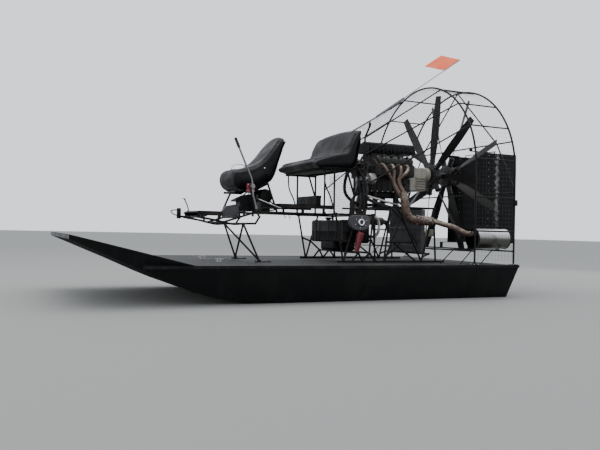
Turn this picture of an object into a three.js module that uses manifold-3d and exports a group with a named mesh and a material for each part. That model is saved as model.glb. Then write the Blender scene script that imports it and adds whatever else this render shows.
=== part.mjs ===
// An airboat: a flat scow hull with a raised driver's seat, a passenger bench, a V8 engine on a tube
// stand, two propellers that turn opposite ways in a round cage, and twin rudders behind them.
// Millimetres. +X runs aft, +Y to starboard, +Z up. The origin is on the ground under the boat's middle.
import * as THREE from 'three';
import { mergeVertices } from 'three/addons/utils/BufferGeometryUtils.js';
import Module from 'manifold-3d';

const wasm = await Module();
wasm.setup();

// Driving dimensions.
const GAP = 0.3; // between pieces that touch
const WELD = 0.02; // edges shorter than this are closed when pieces are joined
const STERN = 2189; // the transom's top edge, aft of the origin
const DECK = 390; // the deck's top above the ground
const HALF_BEAM = 1190; // at the gunwale
const FLARE = 150; // how far the sides lean in at the bottom
const BOW = -5107; // the bow's front edge, from the transom
const BOW_RISE = 285; // the bow's top edge above the deck
const SHEER_START = -3940; // where the deck starts to rise
const RIM_END = -4464; // where the gunwale angle ends
const DECK_THICK = 5;
const PROP_R = 1045; // propeller radius
const PROP_UP = 1129; // shaft above the deck
const FRONT_PROP = -450;
const HUB_AHEAD = 70; // the front hub's reach to the gearbox
const REAR_PROP = -200;
const BLADES = 8;
const FRONT_PHASE = 7; // degrees from upright, towards port
const REAR_PHASE = 25;
const HOOP_R = 1131;
const FRONT_HOOP = -624;
const REAR_HOOP = -42;
const HOOP_TUBE = 12; // tube radius of the cage hoops
const STAY_TUBE = 9; // tube radius of the cage's stays and struts
const FRAME_TUBE = 12; // tube radius of the stands
const RAIL_SIDE = 500; // the engine stand's base rails, from the centre plane
const RUDDER_SIDE = 300;
const RUDDER_PIVOT = 200;
const RUDDER_LOW = 247;
const RUDDER_HIGH = 1450;
const RUDDER_NOSE = -140; // from the pivot
const RUDDER_TAIL = 529;
const HORN = 150; // the tie bar's horns, aft of the rudder pivots
const HORN_TOP = 1466;
const OPEN_PIVOT = 6; // clearance under the tie bar's free end
const CROSS_HIGH = 1490; // the cage's cross tubes that carry the rudders
const CROSS_MIDDLE = 870;
const CROSS_LOW = 165;
const MUFFLER_R = 127;
const MUFFLER_UP = 310;
const PIPE_UP = 365; // where the exhaust pipe meets the muffler
const STICK = { aft: -3112, side: -375 - GAP, up: 840 }; // the steering stick's pivot
const PLATFORM = 555; // top of the foot platform
const WALKWAY = 620; // underside of the passengers' platform
const TRAY = 575; // top of the battery tray's bars
const SEAT_BASE = 800; // underside of the driver's seat
const SEAT_FRAME = SEAT_BASE - FRAME_TUBE - GAP;
const SEAT_LEG = 200; // the seat's rear legs, from the centre plane
const BENCH = { front: -2350, base: 1080, end: -1955 }; // the bench's level underside
const TRUSS_SIDE = 520; // the bench stand's side trusses, from the centre plane
const BUTT = -1580; // where the bench stand's and the engine stand's base rails meet
const CRADLE = 115; // the tubes under the tank
const TANK_LOW = CRADLE + FRAME_TUBE + GAP;
const ENGINE_RAIL = 668; // the engine stand's top rails
const BLOCK_BASE = 860; // top of the engine mounts
const HEAD_FACE = 330; // the heads' outer faces, from the centre plane
const INTAKE = 1360; // underside of the air box
const CAN_START = -1055; // the flange between the header and the exhaust can
const POST_AFT = -1770; // the posts behind the bench that carry the cage's struts
const MAST_SIDE = -600; // the flag mast, from the centre plane
const MAST_FOOT = 1640;

// A point measured from the transom's top edge, the centre plane and the deck.
const at = (aft, side, up) => new THREE.Vector3(STERN + aft, side, DECK + up);
const sides = [['port', -1], ['starboard', 1]];

// A geometry's shared vertices merged, with its faces turned outwards.
function welded(geometry) {
  const bare = geometry.clone();
  bare.deleteAttribute('normal');
  bare.deleteAttribute('uv');
  const mesh = geometry.attributes.normal ? mergeVertices(bare, 1e-3) : bare;
  const { position } = mesh.attributes;
  const corners = mesh.index.array;
  const [a, b, c] = [new THREE.Vector3(), new THREE.Vector3(), new THREE.Vector3()];
  let volume = 0;
  for (let i = 0; i < corners.length; i += 3) {
    a.fromBufferAttribute(position, corners[i]);
    b.fromBufferAttribute(position, corners[i + 1]);
    c.fromBufferAttribute(position, corners[i + 2]);
    volume += a.dot(b.cross(c));
  }
  if (volume < 0) corners.reverse();
  return mesh;
}

function toSolid(geometry) {
  const mesh = welded(geometry);
  const vertProperties = new Float32Array(mesh.attributes.position.array);
  const triVerts = new Uint32Array(mesh.index.array);
  return new wasm.Manifold(new wasm.Mesh({ numProp: 3, vertProperties, triVerts, tolerance: WELD }));
}

function fromSolid(solid) {
  const { vertProperties, triVerts } = solid.getMesh();
  const geometry = new THREE.BufferGeometry();
  geometry.setAttribute('position', new THREE.Float32BufferAttribute(vertProperties, 3));
  geometry.setIndex(new THREE.Uint32BufferAttribute(triVerts, 1));
  return geometry;
}

function join(...pieces) {
  return fromSolid(pieces.map(toSolid).reduce((whole, piece) => whole.add(piece)));
}

function cut(body, ...tools) {
  return fromSolid(tools.map(toSolid).reduce((whole, tool) => whole.subtract(tool), toSolid(body)));
}

// A straight round bar from one point to another, its flats turned by the twist.
function bar(from, to, radius, faces = 6, twist = 0) {
  const along = to.clone().sub(from);
  const geometry = new THREE.CylinderGeometry(radius, radius, along.length(), faces).rotateY(twist);
  const upright = new THREE.Vector3(0, 1, 0);
  const turn = new THREE.Quaternion().setFromUnitVectors(upright, along.clone().normalize());
  geometry.applyQuaternion(turn);
  const middle = from.clone().add(to).multiplyScalar(0.5);
  return geometry.translate(middle.x, middle.y, middle.z);
}

// A run of straight bars, with a ball at each bend.
function bars(points, radius, faces = 8) {
  const pieces = [];
  points.slice(1).forEach((point, i) => {
    pieces.push(bar(points[i], point, radius, faces));
    if (i === 0) return;
    const { x, y, z } = points[i];
    pieces.push(new THREE.SphereGeometry(radius, faces, 4).translate(x, y, z));
  });
  return join(...pieces);
}

// A smooth bent tube through the points.
function bentTube(points, radius, steps, faces = 8) {
  const section = new THREE.Shape();
  for (let i = 0; i < faces; i++) {
    const turn = (2 * Math.PI * i) / faces;
    if (i === 0) section.moveTo(radius, 0);
    else section.lineTo(radius * Math.cos(turn), radius * Math.sin(turn));
  }
  const extrudePath = points instanceof THREE.Curve ? points : new THREE.CatmullRomCurve3(points);
  return new THREE.ExtrudeGeometry(section, { steps, extrudePath, bevelEnabled: false });
}

// A box between two opposite corners.
function block(corner, opposite) {
  const box = new THREE.Box3().setFromPoints([corner, opposite]);
  const size = box.getSize(new THREE.Vector3());
  const middle = box.getCenter(new THREE.Vector3());
  return new THREE.BoxGeometry(size.x, size.y, size.z).translate(middle.x, middle.y, middle.z);
}

// A side outline of [aft, up] points, pushed out from one side to the other.
function sidePlate(outline, fromSide, toSide) {
  const shape = new THREE.Shape(outline.map(([aft, up]) => new THREE.Vector2(STERN + aft, DECK + up)));
  const geometry = new THREE.ExtrudeGeometry(shape, { depth: toSide - fromSide, bevelEnabled: false });
  return geometry.rotateX(Math.PI / 2).translate(0, toSide, 0);
}

// An outline of [side, up] points, carried along the boat from one point aft to another.
function crossPlate(outline, from, to) {
  return loft([from, to].map((aft) => outline.map(([side, up]) => at(aft, side, up))));
}

// A closed skin through rings of points, all with the same count, with flat ends.
function loft(rings) {
  const count = rings[0].length;
  const positions = rings.flat().flatMap((point) => [point.x, point.y, point.z]);
  const index = [];
  for (let ring = 0; ring < rings.length - 1; ring++) {
    for (let i = 0; i < count; i++) {
      const a = ring * count + i;
      const b = ring * count + ((i + 1) % count);
      index.push(a, b, b + count, a, b + count, a + count);
    }
  }
  const last = (rings.length - 1) * count;
  for (let i = 1; i < count - 1; i++) {
    index.push(0, i + 1, i);
    index.push(last, last + i, last + i + 1);
  }
  const geometry = new THREE.BufferGeometry();
  geometry.setAttribute('position', new THREE.Float32BufferAttribute(positions, 3));
  geometry.setIndex(index);
  return geometry;
}

const airboat = new THREE.Group();

function finish(color, roughness, metalness) {
  return new THREE.MeshStandardMaterial({ color, roughness, metalness });
}

const blackPaint = finish(0x101113, 0.35, 0.1);
const deckGrey = finish(0x5c5e60, 0.75, 0.1);
const rimGrey = finish(0x9a9b9c, 0.5, 0.6);
const frameBlack = finish(0x17181a, 0.45, 0.2);
const vinylBlack = finish(0x1c1c1e, 0.6, 0);
const plasticBlack = finish(0x141416, 0.5, 0);
const engineDark = finish(0x2c2c2d, 0.6, 0.5);
const alloy = finish(0xb9b5aa, 0.5, 0.8);
const steel = finish(0x8f9092, 0.35, 0.9);
const rust = finish(0x9c7a66, 0.8, 0.4);
const chrome = finish(0xd8dadc, 0.12, 1);
const bladeGrey = finish(0x3c3a3b, 0.5, 0.1);
const flagOrange = finish(0xf2603a, 0.8, 0);
const redPaint = finish(0x8c1f2a, 0.5, 0.1);
const panelGrey = finish(0x55585c, 0.55, 0.4);

function add(name, geometry, material, parent = airboat) {
  const mesh = new THREE.Mesh(welded(geometry), material);
  mesh.name = name;
  parent.add(mesh);
  return mesh;
}

// Hull: foam-filled, flat-bottomed, with flared sides and a long rake up to a square bow.
const keelLine = [
  // aft, up of the bottom; up and half width of the top edge
  [0, -DECK, 0, 1186],
  [-3000, -DECK, 0, 1186],
  [-3400, -375, 0, 1186],
  [-3700, -328, 0, 1186],
  [-3940, -262, 0, 1186],
  [-4154, -173, 52, 1180],
  [-4510, -13, 140, 1165],
  [-4849, 132, 223, 1140],
  [BOW, 242, BOW_RISE, 1110],
];
const TRANSOM_RAKE = 60;
const hullRings = keelLine.map(([aft, low, high, half]) => {
  const foot = half - (FLARE * (high - low)) / DECK;
  const rake = aft === 0 ? TRANSOM_RAKE : 0;
  const top = high - DECK_THICK - GAP;
  return [at(aft - rake, -foot, low), at(aft - rake, foot, low), at(aft, half, top), at(aft, -half, top)];
});
add('hull', loft(hullRings), blackPaint);

// Deck plate: flush with the gunwales, bent up along the bow.
const deckEdge = keelLine.map(([aft, , high, half]) => [aft, high, half - 8]);
const deckRings = deckEdge.map(([aft, up, half]) => [
  at(aft, -half, up - DECK_THICK), at(aft, half, up - DECK_THICK), at(aft, half, up), at(aft, -half, up),
]);
add('deck', loft(deckRings), deckGrey);

// Gunwale angles: a thin angle along each side, with its lip on the deck.
for (const [side, sign] of sides) {
  const lip = block(at(SHEER_START, sign * (HALF_BEAM - 34), GAP), at(0, sign * HALF_BEAM, 4));
  const flange = block(at(RIM_END, sign * (HALF_BEAM - 4 + GAP), -26), at(0, sign * HALF_BEAM, 4));
  add(`gunwale_${side}`, join(lip, flange), rimGrey);
}

// Cleats on the forward deck: a base and a horn on two short posts.
for (const [side, sign] of sides) {
  const cleat = [block(at(-3502, 306 * sign, GAP), at(-3430, 334 * sign, 6))];
  for (const aft of [-3484, -3448]) {
    cleat.push(block(at(aft - 6, 314 * sign, 5), at(aft + 6, 326 * sign, 26)));
  }
  cleat.push(block(at(-3518, 313 * sign, 22), at(-3414, 327 * sign, 33)));
  add(`cleat_${side}`, join(...cleat), steel);
}

// Each strut runs a little past its ends, and no two in a frame have their flats turned alike.
function strut(list, from, to, radius = FRAME_TUBE) {
  const start = at(...from);
  const end = at(...to);
  const past = end.clone().sub(start).setLength(radius / 3);
  list.push(bar(start.sub(past), end.add(past), radius, 6, 0.7 * list.length));
}

// Seat stand: an X-braced trestle on the deck, forward rails under the foot platform, rails aft to the
// bench stand under the passengers' platform, and a frame on three legs for the driver's seat.
const PANEL_LOW = 520; // where the kick panel rests
const seatStand = [];
for (const [, sign] of sides) {
  seatStand.push(block(at(-3070, 365 * sign, GAP), at(-2900, 445 * sign, 26)));
  strut(seatStand, [-3030, 405 * sign, 24], [-3200, 340 * sign, 424]);
  strut(seatStand, [-3030, 405 * sign, 24], [-3200, -340 * sign, 424]);
  strut(seatStand, [-3200, 340 * sign, 424], [-3315, 320 * sign, 417]);
  strut(seatStand, [-3315, 320 * sign, 417], [-3541, 300 * sign, 461]);
  strut(seatStand, [-3541, 300 * sign, 461], [-3711, 290 * sign, 488]);
  strut(seatStand, [-3200, 340 * sign, 424], [-3056, 340 * sign, 428]);
  strut(seatStand, [-3056, 340 * sign, 428], [-3006, 335 * sign, 505]);
  strut(seatStand, [-3006, 335 * sign, 505], [-3030, 300 * sign, 560]);
  strut(seatStand, [-3420, 310 * sign, 437], [-3030, 300 * sign, 560]);
  strut(seatStand, [-3030, 300 * sign, 560], [-2160, 300 * sign, 560]);
  strut(seatStand, [-3020, 308 * sign, 575], [-2955, 308 * sign, 607], STAY_TUBE);
  strut(seatStand, [-2955, 308 * sign, 607], [-2700, 308 * sign, 607], STAY_TUBE);
  strut(seatStand, [-3250, SEAT_LEG * sign, SEAT_FRAME], [-3047, SEAT_LEG * sign, SEAT_FRAME]);
  strut(seatStand, [-3047, SEAT_LEG * sign, SEAT_FRAME], [-2943, SEAT_LEG * sign, 852]);
  strut(seatStand, [-2943, SEAT_LEG * sign, 852], [-2862, SEAT_LEG * sign, 892]);
  strut(seatStand, [-2862, SEAT_LEG * sign, 892], [-2736, SEAT_LEG * sign, 560]);
  for (const [aft, low] of [[-3660, 464], [-3470, 440]]) {
    seatStand.push(block(at(aft - 14, 272 * sign, low), at(aft + 14, 300 * sign, PLATFORM - 50)));
  }
  for (const aft of [-2700, -2450, -2190]) {
    seatStand.push(block(at(aft - 12, 288 * sign, 560), at(aft + 12, 312 * sign, WALKWAY)));
  }
}
strut(seatStand, [-3200, -340, 424], [-3200, 340, 424]);
strut(seatStand, [-3711, -290, 488], [-3711, 290, 488]);
strut(seatStand, [-3395, -312, 433], [-3395, 312, 433]);
strut(seatStand, [-3395, 0, 433], [-3240, 0, SEAT_FRAME]);
strut(seatStand, [-2736, -300, 560], [-2736, 300, 560]);
strut(seatStand, [-3240, -SEAT_LEG, SEAT_FRAME], [-3240, SEAT_LEG, SEAT_FRAME]);
strut(seatStand, [-2862, -SEAT_LEG, 892], [-2862, SEAT_LEG, 892]);
strut(seatStand, [-3050, -300, 560], [-3112, -300, 820]);
seatStand.push(block(at(-3150, -312, 784), at(-3085, -288, 828)));
seatStand.push(block(at(-3250, -300, 485), at(-3220, 300, PANEL_LOW - GAP)));
for (const aft of [-3180, -3075]) {
  for (const [, sign] of sides) {
    seatStand.push(block(at(aft - 12, 288 * sign, 505), at(aft + 12, 312 * sign, TRAY - 8)));
  }
  seatStand.push(block(at(aft - 15, -300, TRAY - 12), at(aft + 15, 300, TRAY)));
}
seatStand.push(block(at(-2930, -300, 552), at(-2790, 300, 564)));
strut(seatStand, [-3711, 0, 488], [-3845, 0, 490]);
seatStand.push(block(at(-3866, -22, 465), at(-3824, 22, 585)));
const noseRing = [[-3850, 556], [-3895, 560], [-3935, 546], [-3902, 513], [-3850, 500]];
seatStand.push(bars(noseRing.map(([aft, up]) => at(aft, 0, up)), 6, 6));
add('seat_stand', join(...seatStand), frameBlack);

// Foot platform: a tray of folded plate, with a pedal; a grey kick panel closes the space behind it.
const TRAY_FRONT = -3700;
const platform = [block(at(TRAY_FRONT, -300, PLATFORM - 6), at(-3430, 300, PLATFORM))];
for (const [, sign] of sides) {
  const foot = PLATFORM - 50 + GAP;
  platform.push(block(at(TRAY_FRONT, 294 * sign, foot), at(-3430, 300 * sign, PLATFORM)));
  platform.push(block(at(TRAY_FRONT + 3, 255 * sign, foot), at(-3435, 300 * sign, foot + 6)));
}
add('foot_platform', join(...platform), frameBlack);
const pedal = join(
  block(at(-3697, 190, PLATFORM + GAP), at(-3645, 250, PLATFORM + 8)),
  bar(at(-3678, 220, PLATFORM + 5), at(-3730, 220, 706), 8),
  block(at(-3752, 192, 696), at(-3708, 248, 703)),
);
add('throttle_pedal', pedal, frameBlack);
const kickPanel = [
  [-3393, 503], [-3255, PANEL_LOW], [-3220, PANEL_LOW], [-3208, 530], [-3212, 622], [-3246, 642],
  [-3366, 616], [-3402, 558],
];
add('kick_panel', sidePlate(kickPanel, -215, -160), panelGrey);

// Driver's seat: a moulded shell with a thick pad, both drawn from the shell's inner line.
const shellInner = [
  [-3270, 815], [-3055, 815], [-2957, 879], [-2862, 928], [-2805, 1018], [-2766, 1135], [-2700, 1318],
  [-2630, 1440],
];
const shellOuter = [
  [-2616, 1432], [-2687, 1312], [-2752, 1132], [-2790, 1010], [-2846, 917], [-2950, 865],
  [-3050, SEAT_BASE], [-3270, SEAT_BASE],
];
add('driver_seat_shell', sidePlate([...shellInner, ...shellOuter], -276, 276), plasticBlack);
const clearOf = (line) => line.map(([aft, up]) => [aft - GAP, up + GAP]);
const padFace = [
  [-2628, 1452], [-2655, 1466], [-2705, 1446], [-2752, 1395], [-2815, 1310], [-2885, 1210], [-2965, 1112],
  [-3015, 1090], [-3230, 1052], [-3285, 1040], [-3308, 960], [-3300, 880], [-3282, 822],
];
add('driver_seat_pad', sidePlate([...clearOf(shellInner), ...padFace], -286, 286), vinylBlack);

// Battery box and a round canister under the driver's seat.
const batteryLine = [
  [-3204, TRAY + GAP], [-3026, TRAY + GAP], [-3026, 752], [-3058, 764], [-3130, 756], [-3262, 694],
  [-3262, 672], [-3204, 655],
];
add('battery_box', sidePlate(batteryLine, -255, -70), plasticBlack);
const canister = join(
  bar(at(-2862, -165, 750), at(-2862, 165, 750), 85, 14),
  block(at(-2920, -150, 564 + GAP), at(-2805, 150, 690)),
);
add('canister', canister, plasticBlack);

// Steering stick on the port side: a bent lever that pivots in a red bearing block beside the seat.
const bearing = block(at(-3168, -350, 776), at(-3074, -312 - GAP, 876));
add('stick_bearing', bearing, redPaint);
const stickGroup = new THREE.Group();
stickGroup.position.copy(at(STICK.aft, STICK.side, STICK.up));
airboat.add(stickGroup);
const onStick = (aft, up) => new THREE.Vector3(aft - STICK.aft, 0, up - STICK.up);
const barrelEnd = new THREE.Vector3(0, 25 - GAP, 0);
const barrel = bar(barrelEnd, barrelEnd.clone().negate(), 30, 12);
const stickTop = onStick(-3278, 1261);
const lever = bentTube([
  onStick(-3065, 607), onStick(-3106, 760), onStick(-3112, 840), onStick(-3122, 915), onStick(-3200, 1088),
  stickTop,
], 10, 12, 7);
add('steering_stick', join(barrel, lever), steel, stickGroup);
const stickWay = stickTop.clone().sub(onStick(-3200, 1088)).normalize();
const gripFoot = stickTop.clone().addScaledVector(stickWay, GAP + 0.2);
const gripTop = gripFoot.clone().addScaledVector(stickWay, 120);
add('stick_grip', bar(gripFoot, gripTop, 18, 10), plasticBlack, stickGroup);

// Passengers' platform between the two stands, with a low box at its aft end.
const WALK_FRONT = -2755;
const walkway = [block(at(WALK_FRONT, -312, 660), at(-2060, 312, 666))];
for (const [, sign] of sides) {
  walkway.push(block(at(WALK_FRONT, 306 * sign, WALKWAY + GAP), at(-2060, 312 * sign, 666)));
  walkway.push(block(at(WALK_FRONT, 270 * sign, WALKWAY + GAP), at(-2060, 312 * sign, WALKWAY + 6)));
}
add('passenger_platform', join(...walkway), frameBlack);
add('rear_box', block(at(-2263, -262, 666 + GAP), at(-2200, 300, 780)), plasticBlack);

// Bench stand: a side truss on each side of the tank, posts up to the bench, and curved stays.
const BENCH_RAIL = BENCH.base - FRAME_TUBE - GAP; // the rails' centre lines, under the bench
const benchStand = [];
for (const [, sign] of sides) {
  const side = TRUSS_SIDE * sign;
  strut(benchStand, [-2090, side, FRAME_TUBE + GAP], [BUTT - 4, side, FRAME_TUBE + GAP]);
  strut(benchStand, [-2029, side, 14], [-2139, side, 560]);
  strut(benchStand, [-2022, side, 14], [-1962, side, 227]);
  strut(benchStand, [-1962, side, 227], [-2080, side, 270]);
  strut(benchStand, [-1914, side, 14], [-1829, side, CRADLE]);
  strut(benchStand, [-1774, side, 14], [-1829, side, CRADLE]);
  strut(benchStand, [-1774, side, 14], [-1681, side, CRADLE]);
  strut(benchStand, [-1600, side, 14], [-1681, side, CRADLE]);
  strut(benchStand, [-1962, side, 227], [-1829, side, CRADLE]);
  strut(benchStand, [-2139, side, 560], [-1640, side, 560]);
  strut(benchStand, [-1640, side, 560], [-1600, side, 14]);
  strut(benchStand, [-1962, side, 227], [-1860, side, 560]);
  strut(benchStand, [-1640, side, 560], [-1681, side, CRADLE]);
  for (const [aft, end] of [[-2165, -2160], [-1905, -1900]]) {
    strut(benchStand, [aft, side, BENCH_RAIL], [end, side, 560]);
  }
  strut(benchStand, [-2320, side, BENCH_RAIL], [-1905, side, BENCH_RAIL]);
  strut(benchStand, [-2000, side, BENCH_RAIL], [-1900, side, 780]);
  benchStand.push(bentTube([
    at(-2295, side, BENCH_RAIL), at(-2280, side, 900), at(-2212, side, 755), at(-2152, side, 580),
  ], 9, 6, 6));
}
strut(benchStand, [-2139, -TRUSS_SIDE, 560], [-2139, TRUSS_SIDE, 560]);
strut(benchStand, [-1640, -TRUSS_SIDE, 560], [-1640, TRUSS_SIDE, 560]);
for (const aft of [-2300, -2000]) {
  strut(benchStand, [aft, -TRUSS_SIDE, BENCH_RAIL], [aft, TRUSS_SIDE, BENCH_RAIL]);
}
strut(benchStand, [-1829, -TRUSS_SIDE, CRADLE], [-1829, TRUSS_SIDE, CRADLE]);
strut(benchStand, [-1681, -TRUSS_SIDE, CRADLE], [-1681, TRUSS_SIDE, CRADLE]);
benchStand.push(block(at(-1994, -TRUSS_SIDE - 6, 430), at(-1700, -TRUSS_SIDE + 6, 448)));
add('bench_stand', join(...benchStand), frameBlack);

// Bench: a shell with a thick pad, wide enough for three.
const BENCH_PAN = 15; // the shell's thickness
const benchInner = [
  [BENCH.front, BENCH.base + BENCH_PAN], [-1966, BENCH.base + BENCH_PAN], [-1922, 1131],
  [-1901, 1200], [-1882, 1300], [-1832, 1500],
];
const benchOuter = [
  [-1818, 1497], [-1867, 1298], [-1887, 1196], [-1909, 1121], [BENCH.end, BENCH.base],
  [BENCH.front, BENCH.base],
];
add('bench_shell', sidePlate([...benchInner, ...benchOuter], -570, 570), plasticBlack);
const benchFace = [
  [-1815, 1545], [-1838, 1578], [-1870, 1566], [-1905, 1515], [-1965, 1395], [-1985, 1336], [-2020, 1300],
  [-2085, 1280], [-2250, 1240], [-2350, 1208], [-2408, 1182], [-2434, 1155], [-2432, 1122], [-2402, 1100],
];
add('bench_pad', sidePlate([...clearOf(benchInner), ...benchFace], -580, 580), vinylBlack);

// Tank: as wide as the frame, with a deeper middle that rests on the cradle tubes.
const tank = join(
  crossPlate([[-500, 225], [500, 225], [500, 470], [470, 500], [-470, 500], [-500, 470]], -1970, -1660),
  crossPlate([[-160, TANK_LOW], [230, TANK_LOW], [255, 240], [-185, 240]], -1965, -1665),
);
add('fuel_tank', tank, plasticBlack);

// Pump: a grey housing on the port truss, a bright ring in its face and a red bottle below it.
const pumpSide = -TRUSS_SIDE - FRAME_TUBE - GAP;
const pumpOutline = [
  [-1985, 450], [-1960, 400], [-1860, 372], [-1760, 390], [-1715, 440], [-1715, 530], [-1760, 556],
  [-1940, 556], [-1985, 520],
];
add('pump_housing', sidePlate(pumpOutline, pumpSide - 60, pumpSide), panelGrey);
const ringOutline = [[22, 0], [42, 0], [42, 14], [36, 22], [22, 22]].map(([r, y]) => new THREE.Vector2(r, y));
const pumpRing = new THREE.LatheGeometry([...ringOutline, ringOutline[0].clone()], 20).rotateX(Math.PI);
const ringAt = at(-1842, pumpSide - 60 - GAP, 470);
add('pump_ring', pumpRing.translate(ringAt.x, ringAt.y, ringAt.z), chrome);
const bottle = new THREE.CylinderGeometry(50, 24, 240, 12).rotateX(Math.PI / 2).rotateY(0.23);
const bottleAt = at(-1865, pumpSide - 52, 238);
const bottleNeck = bar(at(-1858, pumpSide - 45, 345), at(-1858, pumpSide - 45, 372 - GAP), 14, 10);
const bottleBody = join(bottle.translate(bottleAt.x, bottleAt.y, bottleAt.z), bottleNeck);
add('red_bottle', bottleBody, redPaint);

// Engine stand: base rails on the deck, braced sides, and cross tubes that carry the engine.
const engineStand = [];
for (const [, sign] of sides) {
  const side = RAIL_SIDE * sign;
  strut(engineStand, [BUTT + 4 + GAP, TRUSS_SIDE * sign, FRAME_TUBE + GAP], [-600, side, FRAME_TUBE + GAP]);
  strut(engineStand, [-1464, side, 14], [-1389, side, ENGINE_RAIL]);
  strut(engineStand, [-1460, side, 14], [-1230, side, 570]);
  strut(engineStand, [-930, side, 14], [-1230, side, 570]);
  strut(engineStand, [-1230, side, 570], [-1310, side, ENGINE_RAIL]);
  strut(engineStand, [-1230, side, 570], [-1150, side, ENGINE_RAIL]);
  strut(engineStand, [-1439, side, 245], [-1050, side, 245]);
  strut(engineStand, [-1360, side, 255], [-1010, side, 14]);
  strut(engineStand, [-1230, side, 245], [-1460, side, 60]);
  strut(engineStand, [-930, side, 14], [-760, side, ENGINE_RAIL]);
  strut(engineStand, [-720, side, 14], [-760, side, ENGINE_RAIL]);
  strut(engineStand, [-1500, side, ENGINE_RAIL], [-740, side, ENGINE_RAIL]);
}
for (const aft of [-1400, -1100, -820]) {
  strut(engineStand, [aft, -RAIL_SIDE, ENGINE_RAIL], [aft, RAIL_SIDE, ENGINE_RAIL]);
}
strut(engineStand, [-820, -RAIL_SIDE, 105], [-820, RAIL_SIDE, 105]);
for (const [, sign] of sides) {
  for (const aft of [-1400, -1100]) {
    engineStand.push(block(at(aft - 30, 130 * sign, ENGINE_RAIL), at(aft + 30, 185 * sign, BLOCK_BASE)));
  }
  strut(engineStand, [-820, RAIL_SIDE * sign, 105], [-900, RAIL_SIDE * sign, 75]);
}
add('engine_stand', join(...engineStand), frameBlack);

// Radiator: upright across the stand's aft end, with a small finned cooler on its port side.
const radiatorTop = ENGINE_RAIL - FRAME_TUBE - GAP;
const radiator = join(
  block(at(-850, -373, 105 + FRAME_TUBE + GAP), at(-790, 373, radiatorTop)),
  block(at(-858, -360, 200), at(-782, 360, 212)),
  block(at(-858, -360, 420), at(-782, 360, 432)),
);
add('radiator', radiator, panelGrey);
const cooler = [block(at(-780, -380, 320), at(-660, -360, 410))];
for (let up = 324; up < 400; up += 18) cooler.push(block(at(-775, -398, up), at(-665, -362, up + 7)));
cooler.push(block(at(-790 + GAP, -372, 350), at(-770, -361, 380)));
add('oil_cooler', join(...cooler), alloy);

// Engine: a V8 block with its sump, heads, valve covers, intake, belt drive and gearbox.
const engineBlock = join(
  block(at(-1500, -190, BLOCK_BASE + GAP), at(-900, 190, 1050)),
  block(at(-1460, -110, 800), at(-960, 110, 900)),
  block(at(-1480, -180, 1000), at(-920, 180, 1240)),
  block(at(-1440, -115, 1200), at(-960, 115, INTAKE - GAP)),
);
add('engine_block', engineBlock, engineDark);
for (const [side, sign] of sides) {
  const headLine = [[190 + GAP, 1055], [HEAD_FACE, 1055], [HEAD_FACE, 1200], [215, 1280], [190 + GAP, 1280]];
  const head = headLine.map(([out, up]) => [out * sign, up]);
  add(`cylinder_head_${side}`, crossPlate(head, -1480, -940), engineDark);
  const lift = new THREE.Vector2(80, 115).normalize();
  const cover = [[320, 1207, GAP + 0.1], [325, 1204, 62], [226, 1273, 62], [220, 1277, GAP + 0.1]];
  const coverOutline = cover.map(([out, up, off]) => [(out + lift.x * off) * sign, up + lift.y * off]);
  add(`valve_cover_${side}`, crossPlate(coverOutline, -1460, -960), alloy);
}
const plenum = [
  [-150, INTAKE], [150, INTAKE], [170, 1400], [150, 1470], [90, 1495],
  [-90, 1495], [-150, 1470], [-170, 1400],
];
add('air_box', crossPlate(plenum, -1500, -810), plasticBlack);
const pulleys = join(
  block(at(-1525, -150, 880), at(-1500 - GAP, 150, 1180)),
  bar(at(-1560, 0, 930), at(-1520, 0, 930), 62, 16),
  bar(at(-1560, 0, 1110), at(-1520, 0, 1110), 52, 16),
  bar(at(-1575, 0, 930), at(-1560, 0, 930), 80, 16),
  bar(at(-1575, 0, 1110), at(-1560, 0, 1110), 66, 16),
);
add('front_pulleys', pulleys, steel);
const alternator = join(
  bar(at(-1600, -285, 1010), at(-1486, -285, 1010), 70, 16),
  bar(at(-1628, -285, 1010), at(-1595, -285, 1010), 28, 12),
  block(at(-1525 + GAP, -230, 985), at(-1500 - 2, -150 - GAP, 1035)),
);
add('alternator', alternator, alloy);

// Gearbox: a ribbed case with a round nose that the propeller shafts come out of.
const caseFront = -900 + GAP;
const caseAft = -620;
const gearbox = [
  block(at(caseFront, -150, 900), at(-790, 150, 1215)),
  block(at(-790, -130, 905), at(caseAft, 130, 1205)),
  bar(at(caseAft, 0, PROP_UP), at(FRONT_PROP - HUB_AHEAD - GAP, 0, PROP_UP), 96, 20),
];
for (let rib = 0; rib < 5; rib++) {
  gearbox.push(block(at(-790, -150, 925 + 34 * rib), at(caseAft - 5, 150, 937 + 34 * rib)));
}
add('gearbox', join(...gearbox), alloy);

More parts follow.
